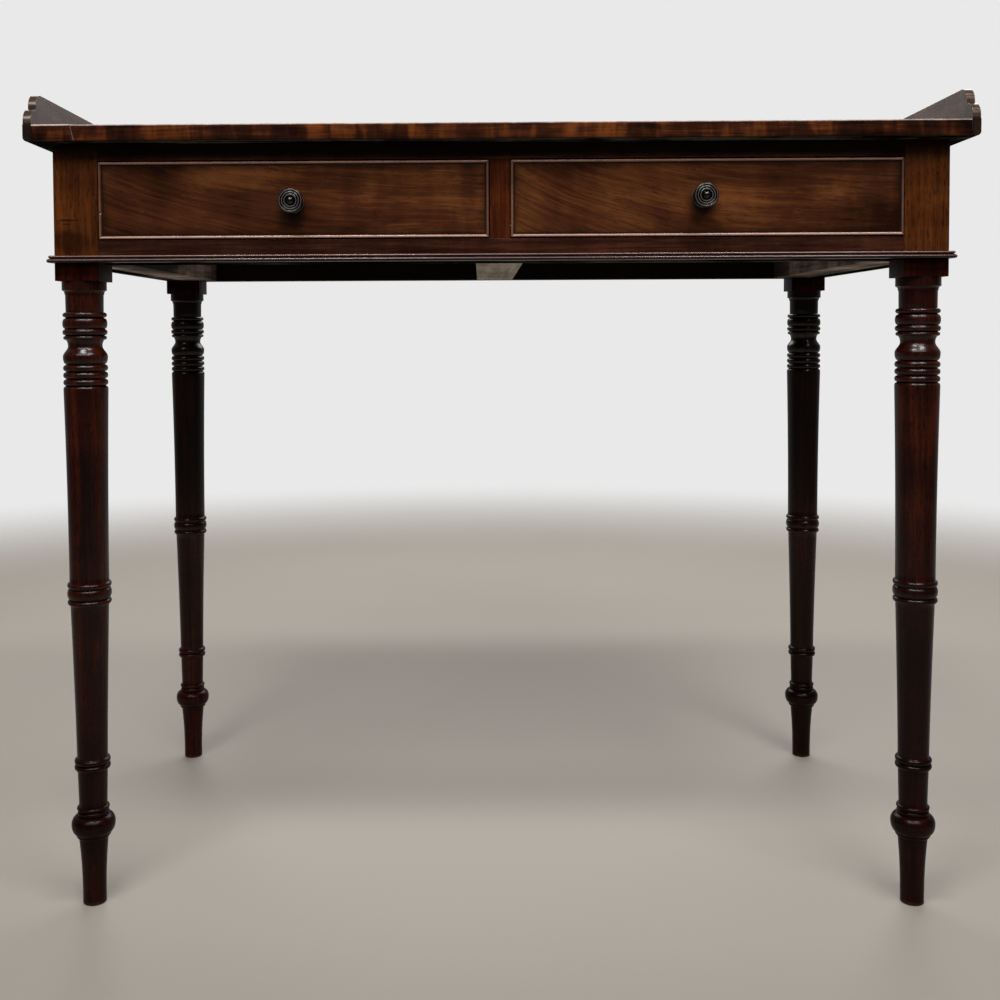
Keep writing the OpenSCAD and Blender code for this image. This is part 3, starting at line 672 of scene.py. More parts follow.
class WoodShop:
    """Makes the wood materials, which share their patterns."""

    def __init__(self) -> None:
        """Starts with no pattern made."""
        self.patterns = PatternStore()

    def material(self, finish: WoodFinish, along: GrainAlong, seed: float, **details: object) -> Material:
        """Makes a wood material for one board or a set of boards.

        Args:
            finish: colours, figure and polish.
            along: the way that the grain runs.
            seed: moves the pattern, so that two boards differ.
            details: the sweep, panel, bands and marks of a WoodSurface.

        Returns:
            The material.
        """
        return WoodSurface(self.patterns, finish, along, seed, **details).material()


@dataclass(frozen=True)
class IronFinish:
    """Old dark iron of screws and nails."""

    name: str = "old_iron"
    clean: Colour = (92, 88, 84)
    rust: Colour = (70, 44, 32)
    patch_scale: float = 500.0
    relief: float = 0.0001

    def material(self) -> Material:
        """Makes the material: grey metal with rust in patches.

        Returns:
            The material.
        """
        made = bpy.data.materials.new(self.name)
        w = fresh(made)
        rust = w.spread(w.noise(w.node("TexCoord").outputs["Object"], self.patch_scale, 4.0, 0.6), 0.4, 0.6)
        bump = w.fill(w.node("Bump"), Distance=self.relief, Height=rust)
        surface = w.fill(
            w.node("BsdfPrincipled"), Base_Color=w.mix(rust, linear(self.clean), linear(self.rust)),
            Metallic=w.minus(1.0, rust), Roughness=w.spread(rust, 0.0, 1.0, 0.4, 0.85),
            Normal=bump.outputs[0])
        w.node("OutputMaterial", surface.outputs[0])
        return made


# The finishes, as the table shows them in plain light, some holding painted shade, sheen or highlight as
# noted
# The top's near-white rubbed colour also paints the highlight along the front arris.
TOP_FINISH = WoodFinish(
    "top_mahogany", (20, 8, 5), (53, 24, 12), (104, 54, 22), (205, 184, 176), streaks=170, stretch=12,
    contrast=0.4, mottle=0.6, pores=0.2, rub=0.3, coat=0.6, coat_rise=(0.7592, 0.7599), specular=0.07,
    tone_swing=0.5)
FACE_FINISH = WoodFinish(
    "top_face_mahogany", (38, 16, 8), (74, 36, 18), (112, 62, 32), (120, 78, 54), streaks=150, stretch=30,
    waver=0.02, contrast=0.4, mottle_scale=9, pores=0.4, rub=0.3, coat=0.4, roughness=0.32,
    coat_roughness=0.2, specular=0.25, tone_swing=0.4)
# The gallery's pale grey-brown tones hold a painted sheen, the reflection on its inner faces.
GALLERY_FINISH = WoodFinish(
    "gallery_mahogany", (46, 30, 22), (80, 57, 45), (112, 85, 71), (112, 86, 74), rub=0.1, specular=0.12,
    coat=1.0, coat_roughness=0.15, coat_rise=(0.7914, 0.7898), relief=0.000012)
STRIP_FINISH = WoodFinish(
    "end_strip_mahogany", (20, 12, 8), (34, 22, 17), (54, 38, 30), (90, 66, 56), rub=0.1, specular=0.15,
    coat=0.2, coat_roughness=0.2)
STILE_FINISH = WoodFinish(
    "stile_mahogany", (44, 18, 5), (82, 41, 14), (112, 62, 22), (112, 68, 42), soil=(14, 5, 2),
    streaks=260, stretch=18, contrast=0.35, mottle=0.1, pores=0.6, pore_level=0.57, rub=0.4,
    tone_swing=0.4)
FRIEZE_FINISH = WoodFinish(
    "frieze_mahogany", (28, 11, 7), (48, 24, 16), (78, 42, 28), (104, 66, 52), streaks=200, stretch=22,
    contrast=0.7, mottle=0.15, pores=0.4, pore_level=0.57, rub=0.5, tone_swing=0.4, specular=0.08)
MUNTIN_FINISH = WoodFinish(
    "muntin_mahogany", (34, 10, 3), (62, 23, 7), (90, 42, 14), (108, 64, 42), streaks=280, stretch=26,
    mottle=0.1, pores=0.5, pore_level=0.57, rub=0.5)
# The bead's pink rubbed colour paints the highlights on its crests as well as wear; its near-black soil
# paints the shade in the groove.
BEAD_FINISH = WoodFinish(
    "bead_mahogany", (10, 3, 2), (20, 7, 5), (34, 15, 11), (150, 108, 98), soil=(3, 1, 1), streaks=160,
    stretch=24, rub=0.45, rub_radius=0.0012, soil_amount=0.97, roughness=0.2, specular=0.25, coat=0.35,
    coat_roughness=0.1)
# The cock beads' pale pink rubbed colour paints the highlight along their noses as well as wear.
COCK_FINISH = WoodFinish(
    "cock_bead_mahogany", (38, 16, 7), (66, 34, 16), (98, 57, 31), (196, 152, 134), streaks=240,
    stretch=24, mottle=0.25, mottle_scale=40, rub=0.5, rub_radius=0.0012, soil_amount=0.97,
    soil_reach=0.003, roughness=0.26, specular=0.4, coat=0.5, coat_roughness=0.2)
FRONT_FINISH = WoodFinish(
    "figured_mahogany", (33, 13, 6), (68, 35, 18), (110, 64, 32), (118, 74, 46), soil=(12, 6, 4),
    streaks=270, stretch=30, waver=0.018, contrast=0.32, mottle_scale=9, pores=0.4, rub=0.3,
    tone_swing=0.4, specular=0.12)
LEG_FINISH = WoodFinish(
    "leg_mahogany", (17, 4, 2), (38, 10, 4), (66, 24, 8), (80, 44, 32), soil=(3, 1, 1), streaks=240,
    stretch=26, waver=0.008, contrast=0.5, mottle=0.12, pores=0.6, pore_level=0.57, rub=0.45,
    rub_radius=0.0007, soil_amount=0.9, soil_reach=0.003, roughness=0.3, coat=0.6, coat_roughness=0.22,
    coat_rise=(-0.1, 0.56), specular=0.03, tone_swing=0.35, relief=0.00001)
BLOCK_FINISH = replace(LEG_FINISH, name="block_mahogany", coat=0.04)
EBONY_FINISH = WoodFinish(
    "ebonised_wood", (5, 4, 4), (8, 7, 7), (12, 11, 11), (134, 128, 123), streaks=300, stretch=10,
    contrast=0.4, mottle=0.1, pores=0.1, rub=0.05, rub_radius=0.0005, soil=(2, 2, 2), soil_reach=0.0015,
    roughness=0.2, coat=0.9, coat_roughness=0.07, specular=0.05, sheen_tint=(255, 250, 246),
    tone_swing=0.2)
OAK_FINISH = WoodFinish(
    "drawer_oak", (92, 68, 40), (128, 99, 62), (158, 128, 86), (168, 140, 102), soil=(24, 17, 11),
    streaks=180, stretch=30, pores=0.55, roughness=0.62, coat=0.0, specular=0.2, rub=0.35,
    soil_amount=0.5, relief=0.0002, tone_swing=0.35)
DEAL_FINISH = WoodFinish(
    "inner_deal", (44, 32, 23), (68, 52, 38), (98, 79, 60), (112, 92, 72), soil=(10, 7, 5), streaks=110,
    stretch=34, mottle=0.1, pores=0.1, roughness=0.7, coat=0.0, specular=0.15, rub=0.3, soil_amount=0.6,
    relief=0.0002, tone_swing=0.5)
RUNNER_FINISH = replace(
    DEAL_FINISH, name="runner_deal", dark=(38, 31, 27), middle=(126, 110, 99), light=(196, 178, 164),
    rubbed=(170, 154, 140), soil=(12, 9, 7), streaks=90, stretch=26, mottle=0.15, pores=0.2,
    tone_swing=0.9)
BEARER_FINISH = replace(
    DEAL_FINISH, name="bearer_deal", dark=(108, 97, 86), middle=(158, 147, 134), light=(190, 180, 167),
    rubbed=(180, 168, 154), soil=(30, 24, 19), streaks=120, stretch=30, mottle=0.15, pores=0.3,
    soil_amount=0.5, tone_swing=0.4)
# Undersides: the near-black tones are painted shade and the grey streaks a painted sheen.
SHADED_RAW_FINISH = WoodFinish(
    "raw_underside", (5, 4, 3), (14, 12, 10), (100, 93, 86), (60, 52, 44), soil=(5, 4, 3), streaks=190,
    stretch=30, contrast=0.9, mottle=0.1, pores=0.6, pore_level=0.55, roughness=0.85, coat=0.0,
    specular=0.0, rub=0.1, relief=0.0008, tone_swing=0.6)


class Bench:
    """Blender's modelling operators, used on one piece at a time."""

    @staticmethod
    def hold(piece: Piece) -> None:
        """Selects one piece and nothing else, in object mode.

        Args:
            piece: the piece to hold.
        """
        if bpy.context.mode != "OBJECT":
            bpy.ops.object.mode_set(mode="OBJECT")
        bpy.ops.object.select_all(action="DESELECT")
        piece.select_set(True)
        bpy.context.view_layer.objects.active = piece

    @classmethod
    @contextmanager
    def shaping(cls, piece: Piece) -> Iterator[None]:
        """Opens a piece in edit mode with everything selected, and closes it again.

        Args:
            piece: the piece to shape.
        """
        cls.hold(piece)
        bpy.ops.object.mode_set(mode="EDIT")
        bpy.ops.mesh.select_mode(type="VERT")
        bpy.ops.mesh.select_all(action="SELECT")
        yield
        bpy.ops.object.mode_set(mode="OBJECT")

    @staticmethod
    def settle(name: str = "") -> Piece:
        """Names the primitive that was just added and puts its place, turn and size in its mesh.

        Args:
            name: its name, or none for a tool.

        Returns:
            The piece.
        """
        piece = bpy.context.active_object
        if name:
            piece.name = piece.data.name = name
        bpy.ops.object.transform_apply(location=True, rotation=True, scale=True)
        return piece

    @classmethod
    def copy_of(cls, node: str, name: str) -> Piece:
        """Copies a CAD node as a clean mesh with its flat faces whole.

        Args:
            node: the CAD node.
            name: the name of the new piece.

        Returns:
            The new piece.
        """
        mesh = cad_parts[node].data.copy()
        mesh.materials.clear()
        piece = bpy.data.objects.new(name, mesh)
        bpy.context.scene.collection.objects.link(piece)
        with cls.shaping(piece):
            bpy.ops.mesh.remove_doubles(threshold=WELD)
            bpy.ops.mesh.dissolve_limited(angle_limit=math.radians(0.6))
            bpy.ops.mesh.normals_make_consistent(inside=False)
        return piece

    @classmethod
    def apply(cls, piece: Piece, kind: str, **settings: object) -> None:
        """Adds a modifier, sets it and applies it.

        Args:
            piece: the piece to change.
            kind: the modifier's Blender type.
            settings: the modifier's properties, by name.
        """
        cls.hold(piece)
        bpy.ops.object.modifier_add(type=kind)
        modifier = piece.modifiers[-1]
        for name, value in settings.items():
            setattr(modifier, name, value)
        bpy.ops.object.modifier_apply(modifier=modifier.name)

    @classmethod
    def ease(cls, piece: Piece, width: float) -> None:
        """Takes the sharpness off the arrises and smooths the shading round them.

        Args:
            piece: the piece to ease.
            width: how wide the eased arris is.
        """
        cls.apply(piece, "BEVEL", width=width, segments=3, limit_method="ANGLE",
                  angle_limit=math.radians(30), use_clamp_overlap=True)
        cls.hold(piece)
        bpy.ops.object.shade_smooth()
        cls.apply(piece, "WEIGHTED_NORMAL", mode="FACE_AREA", weight=80, keep_sharp=True)

    @classmethod
    def eased_copy(cls, node: str, name: str, width: float) -> Piece:
        """Copies a CAD node and eases its arrises.

        Args:
            node: the CAD node.
            name: the name of the new piece.
            width: how wide the eased arris is.

        Returns:
            The new piece.
        """
        piece = cls.copy_of(node, name)
        cls.ease(piece, width)
        return piece

    @classmethod
    def cut_across(cls, piece: Piece, axis: int, places: Sequence[float]) -> None:
        """Cuts edges across a piece without parting it, so that it can be worn unevenly.

        Args:
            piece: the piece to cut.
            axis: X, Y or Z, which the cuts are square to.
            places: how far along that axis each cut lies.
        """
        normal = Vector([float(k == axis) for k in range(3)])
        with cls.shaping(piece):
            for place in places:
                bpy.ops.mesh.select_all(action="SELECT")
                bpy.ops.mesh.bisect(plane_co=normal * place, plane_no=normal, use_fill=False)

    @classmethod
    def cut_evenly(cls, piece: Piece, node: str, axis: int, pitch: float) -> None:
        """Cuts edges across a long piece at even steps.

        Args:
            piece: the piece to cut.
            node: the CAD node that gives its ends.
            axis: X, Y or Z, along which it lies.
            pitch: about how far apart the cuts are.
        """
        start, end = (corner[axis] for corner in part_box(node))
        count = int((end - start) / pitch)
        cls.cut_across(piece, axis, [start + (end - start) * k / count for k in range(1, count)])

    @classmethod
    def wear_down(cls, piece: Piece, depth: float, size: float, group: str = "") -> None:
        """Lowers the surface unevenly, never outwards.

        Args:
            piece: the piece to wear.
            depth: the deepest wear.
            size: how large the worn patches are.
            group: the vertex group that is worn, or all.
        """
        texture = bpy.data.textures.new(piece.name + "_wear", "CLOUDS")
        texture.noise_scale = size
        texture.noise_depth = 2
        cls.apply(piece, "DISPLACE", texture=texture, texture_coords="LOCAL", strength=depth, mid_level=1.0,
                  vertex_group=group)
        bpy.data.textures.remove(texture)

    @classmethod
    def lathe(cls, name: str, profile: Profile, centre: Point, along: Point, steps: int) -> Piece:
        """Turns a piece: draws its profile point by point and spins it.

        Args:
            name: the name of the new piece.
            profile: radius and distance along the axis of each point in millimetres, from axis to axis.
            centre: the start of the axis.
            along: the axis, upright or pointing at the viewer.
            steps: the number of steps round.

        Returns:
            The turned piece.
        """
        points = [Vector(centre) + Vector((radius * MM, 0.0, 0.0)) + Vector(along) * (height * MM)
                  for radius, height in profile]
        bpy.ops.object.select_all(action="DESELECT")
        bpy.ops.mesh.primitive_plane_add(size=MM, location=points[0])
        piece = cls.settle(name)
        with cls.shaping(piece):
            bpy.ops.mesh.merge(type="CENTER")
            for before, after in zip(points, points[1:]):
                bpy.ops.mesh.extrude_region_move(TRANSFORM_OT_translate={"value": after - before})
            bpy.ops.mesh.select_all(action="SELECT")
            bpy.ops.mesh.spin(steps=steps, angle=math.tau, center=centre, axis=along, use_auto_merge=True)
            bpy.ops.mesh.select_all(action="SELECT")
            bpy.ops.mesh.remove_doubles(threshold=2 * WELD)
            bpy.ops.mesh.normals_make_consistent(inside=False)
        cls.hold(piece)
        bpy.ops.object.shade_smooth_by_angle(angle=math.radians(38))
        return piece

    @classmethod
    def block(cls, name: str, low: Point, high: Point) -> Piece:
        """Makes a squared block between two corners.

        Args:
            name: the name of the new piece.
            low: its lowest corner.
            high: its highest corner.

        Returns:
            The block, with its place in its mesh.
        """
        bpy.ops.object.select_all(action="DESELECT")
        middle = (Vector(low) + Vector(high)) / 2
        bpy.ops.mesh.primitive_cube_add(size=1.0, location=middle, scale=Vector(high) - Vector(low))
        return cls.settle(name)

    @classmethod
    def chip(cls, piece: Piece, place: Point, size: Point) -> None:
        """Knocks a small chip out of a piece.

        Args:
            piece: the piece that loses it.
            place: the middle of the chip.
            size: the chip's width, depth and height.
        """
        bpy.ops.object.select_all(action="DESELECT")
        bpy.ops.mesh.primitive_ico_sphere_add(subdivisions=2, radius=0.5, location=place, scale=size)
        tool = cls.settle()
        with cls.shaping(tool):
            bpy.ops.transform.vertex_random(offset=min(size) * 0.12, seed=int(abs(place[0]) * 1000))
        cls.apply(piece, "BOOLEAN", operation="DIFFERENCE", object=tool, solver="EXACT")
        bpy.data.objects.remove(tool)

    @classmethod
    def twin(cls, piece: Piece, name: str, shift: Point, turn: float) -> Piece:
        """Copies a piece with its own mesh to another place.

        Args:
            piece: the first one.
            name: the name of the copy.
            shift: how far it lies from the first one.
            turn: how far it is turned about an upright axis through the first one's middle, in radians.

        Returns:
            The copy.
        """
        copy = piece.copy()
        copy.data = piece.data.copy()
        copy.name = copy.data.name = name
        bpy.context.scene.collection.objects.link(copy)
        corners = [Vector(c) for c in copy.bound_box]
        middle = (corners[0] + corners[6]) / 2
        with cls.shaping(copy):
            bpy.ops.transform.rotate(value=turn, orient_axis="Z", center_override=middle)
            bpy.ops.transform.translate(value=shift)
        return copy

    @staticmethod
    def group_near(piece: Piece, name: str, low: Point, high: Point) -> str:
        """Puts the vertices inside a box in a vertex group.

        Args:
            piece: the piece.
            name: the name of the group.
            low: the lowest corner of the box.
            high: the highest corner of the box.

        Returns:
            The name of the group.
        """
        inside = [v.index for v in piece.data.vertices
                  if all(a <= c <= b for a, c, b in zip(low, v.co, high))]
        piece.vertex_groups.new(name=name).add(inside, 1.0, "REPLACE")
        return name


def dress(piece: Piece, material: Material, body: str, node: str) -> None:
    """Gives a new piece its material and its body, and hides the CAD node that it stands for.

    Args:
        piece: the finished piece.
        material: its material, unless it already has its own.
        body: the CAD body that it moves with.
        node: the CAD node that it replaces.
    """
    if not piece.data.materials:
        piece.data.materials.append(material)
    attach(piece, body)
    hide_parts(node)
    log.info("%s: %d faces, for %s on %s", piece.name, len(piece.data.polygons), node, body)


def leave_raw(piece: Piece, material: Material, raw: Material, upper: Material | None = None) -> None:
    """Gives a piece its material, a raw one on its underside, and perhaps a third on its upper face.

    Args:
        piece: the piece to finish.
        material: the finish of its edges, and of its upper face unless that has its own.
        raw: the finish of its underside.
        upper: the finish of its upper face.
    """
    flat = 0.95
    for part in (material, raw, upper or material):
        piece.data.materials.append(part)
    for face in piece.data.polygons:
        face.material_index = 1 if face.normal.z < -flat else 2 if face.normal.z > flat else 0


def refinish(node: str, material: Material, ease: float = 0.3 * MM) -> None:
    """Keeps a CAD node, with its arrises eased by modifiers, and gives it a material.

    Args:
        node: the CAD node.
        material: its new material.
        ease: the width of its eased arrises, or 0 for none.
    """
    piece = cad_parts[node]
    for slot in piece.material_slots:
        slot.material = material
    if ease:
        weld = piece.modifiers.new("joined faces", "WELD")
        weld.merge_threshold = WELD
        bevel = piece.modifiers.new("eased arrises", "BEVEL")
        bevel.width = ease
        bevel.segments = 2
        bevel.limit_method = "ANGLE"
        bevel.angle_limit = ARRIS_ANGLE
    log.info("%s: CAD node in %s", node, material.name)


@dataclass
class Top:
    """The board, its let-in corner and its two end strips."""

    shop: WoodShop
    ease: float = 0.35 * MM
    strip_ease: float = 0.4 * MM
    arris_wear: float = 0.7 * MM
    arris_width: float = 2.4 * MM
    wear_size: float = 34 * MM
    cuts: int = 90
    underside: float = 0.744
    joint: tuple[float, float] = (-0.4015, 0.752)
    lean: float = -0.25
    strip_joint: float = 0.4385
    glows: Sequence[tuple[float, float, float]] = (
        (-0.065, 0.055, 0.3), (0.08, 0.04, 0.25), (-0.395, 0.012, 0.3))

    def build(self) -> None:
        """Makes the four pieces, with the front arris worn along its length."""
        low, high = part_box("top_board")
        x, z = self.joint
        raw = self.shop.material(SHADED_RAW_FINISH, GrainAlong.WIDTH, 0.8)
        face_wood = self.shop.material(
            FACE_FINISH, GrainAlong.WIDTH, 1.4, sweep=Sweep(0.15, 0.12, 0.03),
            marks=[Mark.across(Effect.SOIL, x - 0.002, 0.0006, 0.8, 0.76, ragged=0.3)])
        # Pale line along the front arris: wear, and a painted highlight.
        arris = Mark(Effect.WORN, (0.0, low.y, 0.7602), (0.0, 1.0, 1.0), 0.0023, 0.95)
        joint = Mark.across(Effect.SOIL, x, 0.0007, 0.9, z, lean=self.lean, ragged=0.2)
        pale = Mark.across(Effect.WORN, x + 0.0011, 0.0006, 0.14, z, lean=self.lean, ragged=0.8)
        ends = [Mark.across(Effect.SOIL, side * self.strip_joint, 0.0012, 0.9, ragged=0.3)
                for side in (-1, 1)]
        figure = [Mark.across(Effect.GLOW, *glow) for glow in self.glows]
        # Painted shade: the front edge darkens down to the underside.
        under = [Band(0.752, self.underside, 0.4)]
        board_wood, patch_wood = (
            self.shop.material(TOP_FINISH, GrainAlong.WIDTH, seed, bands=under, marks=marks)
            for seed, marks in ((0.4, [joint, pale, arris, *ends, *figure]), (2.3, [joint, arris, *ends])))
        strip_wood = self.shop.material(STRIP_FINISH, GrainAlong.DEPTH, 1.1, marks=ends)
        board = Bench.copy_of("top_board", "polished_top_board")
        rng = random.Random(11)
        places = [
            low.x + (high.x - low.x) * (k + rng.uniform(0.2, 0.8)) / self.cuts for k in range(self.cuts)]
        Bench.cut_across(board, X, places)
        edge = Bench.group_near(
            board, "front arris", (-1, -1, self.underside + 1.5 * MM), (1, low.y + self.arris_width, 1))
        Bench.wear_down(board, self.arris_wear, self.wear_size, edge)
        Bench.ease(board, self.ease)
        leave_raw(board, board_wood, raw, face_wood)
        dress(board, board_wood, "frame", "top_board")
        patch = Bench.eased_copy("top_corner_patch", "let_in_corner", self.ease)
        leave_raw(patch, patch_wood, raw, face_wood)
        dress(patch, patch_wood, "frame", "top_corner_patch")
        for side in ("left", "right"):
            strip = Bench.eased_copy(f"top_strip_{side}", f"end_strip_{side}", self.strip_ease)
            leave_raw(strip, strip_wood, raw)
            dress(strip, strip_wood, "frame", f"top_strip_{side}")


@dataclass
class Gallery:
    """The stepped side boards and the back board that stand on the top."""

    shop: WoodShop
    ease: float = 0.25 * MM

    def build(self) -> None:
        """Makes the three boards, with painted shade along the foot and darker front ends."""
        for side, along, seed in (("left", GrainAlong.DEPTH, 0.9), ("right", GrainAlong.DEPTH, 1.9),
                                  ("back", GrainAlong.WIDTH, 2.9)):
            board = Bench.eased_copy(f"gallery_{side}", f"gallery_board_{side}", self.ease)
            # Painted shade darkens the foot, where the board meets the top; the front ends are darker,
            # without the painted sheen of the inner faces.
            wood = self.shop.material(GALLERY_FINISH, along, seed, bands=[
                Band(0.7622, 0.7608, 0.95), Band(-0.21, -0.226, 0.45, axis=Y)])
            dress(board, wood, "frame", f"gallery_{side}")


def arc(centre: tuple[float, float], radii: tuple[float, float], start: float, end: float,
        steps: int = 14) -> Profile:
    """Points on part of an ellipse, with angles in degrees."""
    turns = [math.radians(start + (end - start) * k / steps) for k in range(steps + 1)]
    return [(centre[0] + radii[0] * math.cos(a), centre[1] + radii[1] * math.sin(a)) for a in turns]


def ring(height: float, thick: float, radius: float, groove: float) -> Profile:
    """A turned ring: half an ellipse that stands out of a groove."""
    return arc((groove, height), (radius - groove, thick / 2), -90, 90)


def taper(low: float, low_radius: float, high: float, high_radius: float, power: float,
          steps: int = 18) -> Profile:
    """A taper that widens upwards by a power of its height."""
    shares = [k / steps for k in range(steps + 1)]
    return [(low_radius + (high_radius - low_radius) * s ** power, low + (high - low) * s) for s in shares]


def swell(low: float, low_radius: float, high: float, high_radius: float, steps: int = 16) -> Profile:
    """A smooth change of radius between two heights."""
    shares = [k / steps for k in range(steps + 1)]
    return [(low_radius + (high_radius - low_radius) * (1 - math.cos(math.pi * s)) / 2,
             low + (high - low) * s) for s in shares]


@dataclass
class TurnedLeg:
    """A leg with a square head, turned below it, in millimetres from the floor up."""

    stock: float = 42.5
    block_under: float = 614.5
    behind_bead: float = 635.0
    head_top: float = 744.0
    turn: float = 21.0
    groove: float = 18.7
    quirk: float = 0.8
    neck: float = 17.75
    neck_levels: tuple[float, float] = (584.8, 602.0)
    cove: float = 4.0
    thin: float = 5.2
    fat: float = 10.0
    lip: tuple[float, float] = (560.0, 4.0)
    waist: tuple[float, float] = (552.0, 16.1)
    bulb: tuple[float, float] = (534.5, 541.15)
    stack_ring: float = 6.2
    middle: float = 309.5
    column: float = 18.7
    lower_column: float = 18.2
    ankle: float = 13.4
    double: tuple[float, float, float] = (140.0, 6.0, 17.2)
    ankle_ring: tuple[float, float] = (4.8, 15.6)
    ball: tuple[float, float, float] = (80.0, 8.5, 9.5)
    fillet: tuple[float, float] = (4.0, 16.5)
    foot: tuple[float, float] = (14.2, 11.2)
    arris: float = 0.7
    lathe_steps: int = 72

    def foot_profile(self) -> Profile:
        """Foot, fillet, ball and the two small rings on it.

        Returns:
            The points, from the floor up.
        """
        ball, over, under = self.ball
        thick, out = self.fillet
        top, bottom = self.foot
        base = ball - under
        ring_h, ring_r = self.ankle_ring
        start = ball + over
        return [
            (0.0, 0.0), (bottom - 0.9, 0.0), *arc((bottom - 0.9, 0.9), (0.9, 0.9), -80, 0, 4),
            *taper(1.2, bottom + 0.01, base - thick, top, 2.4, 24),
            *arc((top, base - thick / 2), (out - top, thick / 2), -90, 0, 8),
            *arc((out, ball), (self.turn - out, under), -90, 0),
            *arc((self.ankle + 1, ball), (self.turn - self.ankle - 1, over), 8, 90),
            *ring(start + ring_h / 2, ring_h - self.quirk, ring_r - 0.4, self.ankle + 0.6),
            *ring(start + ring_h * 1.5, ring_h - self.quirk, ring_r, self.ankle + 0.2),
        ]

    def column_profile(self) -> Profile:
        """Both tapering columns with the rings between them.

        Returns:
            The points, from the ankle up.
        """
        double, thick, out = self.double
        start = self.ball[0] + self.ball[1] + 2 * self.ankle_ring[0]
        half = self.fat / 2 + self.quirk + self.thin
        rings = [ring(double + side * thick / 2, thick - self.quirk / 2, out, self.ankle + 1.4)
                 for side in (-1, 1)]
        return [
            *taper(start, self.ankle, double - thick, self.ankle + 0.9, 1.0, 6),
            *rings[0], *rings[1],
            *taper(double + thick, self.ankle + 1.2, self.middle - half - self.quirk, self.lower_column,
                   1.3, 30),
            *ring(self.middle - half + self.thin / 2, self.thin, self.turn - 0.2, self.lower_column + 0.4),
            *ring(self.middle, self.fat, self.turn, self.lower_column + 0.6),
            *ring(self.middle + half - self.thin / 2, self.thin, self.turn - 0.1, self.column + 0.3),
            *taper(self.middle + half + self.quirk, self.column, self.stack_base() - 3, self.turn, 1.9, 36),
            *arc((self.turn - 1.6, self.stack_base() - 3), (1.6, 3.0), 10, 90, 6),
        ]

    def stack_base(self) -> float:
        """Height of the column's shoulder, under the lowest ring of the stack."""
        return self.bulb[0] - self.quirk - 3 * (self.stack_ring + self.quirk)

    def head_profile(self) -> Profile:
        """The stack of rings, bulb, waist, lip, three rings, neck, cove and collar.

        Returns:
            The points, from the column up to the axis inside the square head.
        """
        top = self.bulb[0] - self.quirk - self.stack_ring / 2
        pitch = self.stack_ring + self.quirk
        stack = [p for k in (2, 1, 0)
                 for p in ring(top - k * pitch, self.stack_ring, self.turn, self.groove - 0.3)]
        under, widest = self.bulb
        waist, waist_r = self.waist
        lip, lip_h = self.lip
        low, high = self.neck_levels
        ring_1 = low - self.thin / 2
        ring_2 = ring_1 - self.thin / 2 - self.quirk - self.fat / 2
        ring_3 = ring_2 - self.fat / 2 - self.quirk - self.thin / 2
        return [
            *stack,
            *arc((self.groove - 0.4, widest), (self.turn - self.groove + 0.4, widest - under), -90, 0),
            *swell(widest + 0.6, self.turn, waist, waist_r),
            *taper(waist + 0.4, waist_r, lip - lip_h / 2, self.groove - 0.8, 2.2, 10),
            *ring(lip, lip_h, self.turn - 0.6, self.groove - 0.6),
            *ring(ring_3, self.thin, self.turn, self.groove + 0.4),
            *ring(ring_2, self.fat, self.turn, self.groove),
            *ring(ring_1, self.thin, self.turn - 0.3, self.neck - 0.2),
            (self.neck, low + 0.6), (self.neck + 0.1, (low + high) / 2), (self.neck + 0.2, high),
            (self.neck + 0.8, high),
            *arc((self.turn, high + 0.8), (self.neck + 0.8 - self.turn, self.cove - 0.8), 0, 90, 10),
            (self.turn, self.block_under - 0.3), (self.turn, self.block_under + 2),
            (0.0, self.block_under + 2),
        ]

    def model(self, x: float, y: float) -> Piece:
        """Makes one whole leg with its axis at a place.

        Args:
            x: where the axis stands, in metres.
            y: where the axis stands, in metres.

        Returns:
            The leg.
        """
        profile = self.foot_profile() + self.column_profile() + self.head_profile()
        leg = Bench.lathe("turned_leg", profile, (x, y, 0.0), (0.0, 0.0, 1.0), self.lathe_steps)
        half = self.stock / 2 * MM
        head = Bench.block(
            "leg_head", (x - half, y - half, self.block_under * MM),
            (x + half, y + half, self.head_top * MM))
        Bench.cut_across(head, Z, [self.behind_bead * MM + 12.1 * MM * k for k in range(9)])
        Bench.apply(head, "BEVEL", width=self.arris * MM, segments=3, limit_method="ANGLE",
                    angle_limit=ARRIS_ANGLE)
        Bench.wear_down(head, 0.12 * MM, 30 * MM)
        Bench.apply(leg, "BOOLEAN", operation="UNION", object=head, solver="EXACT")
        bpy.data.objects.remove(head)
        Bench.hold(leg)
        bpy.ops.object.shade_smooth_by_angle(angle=math.radians(34))
        return leg


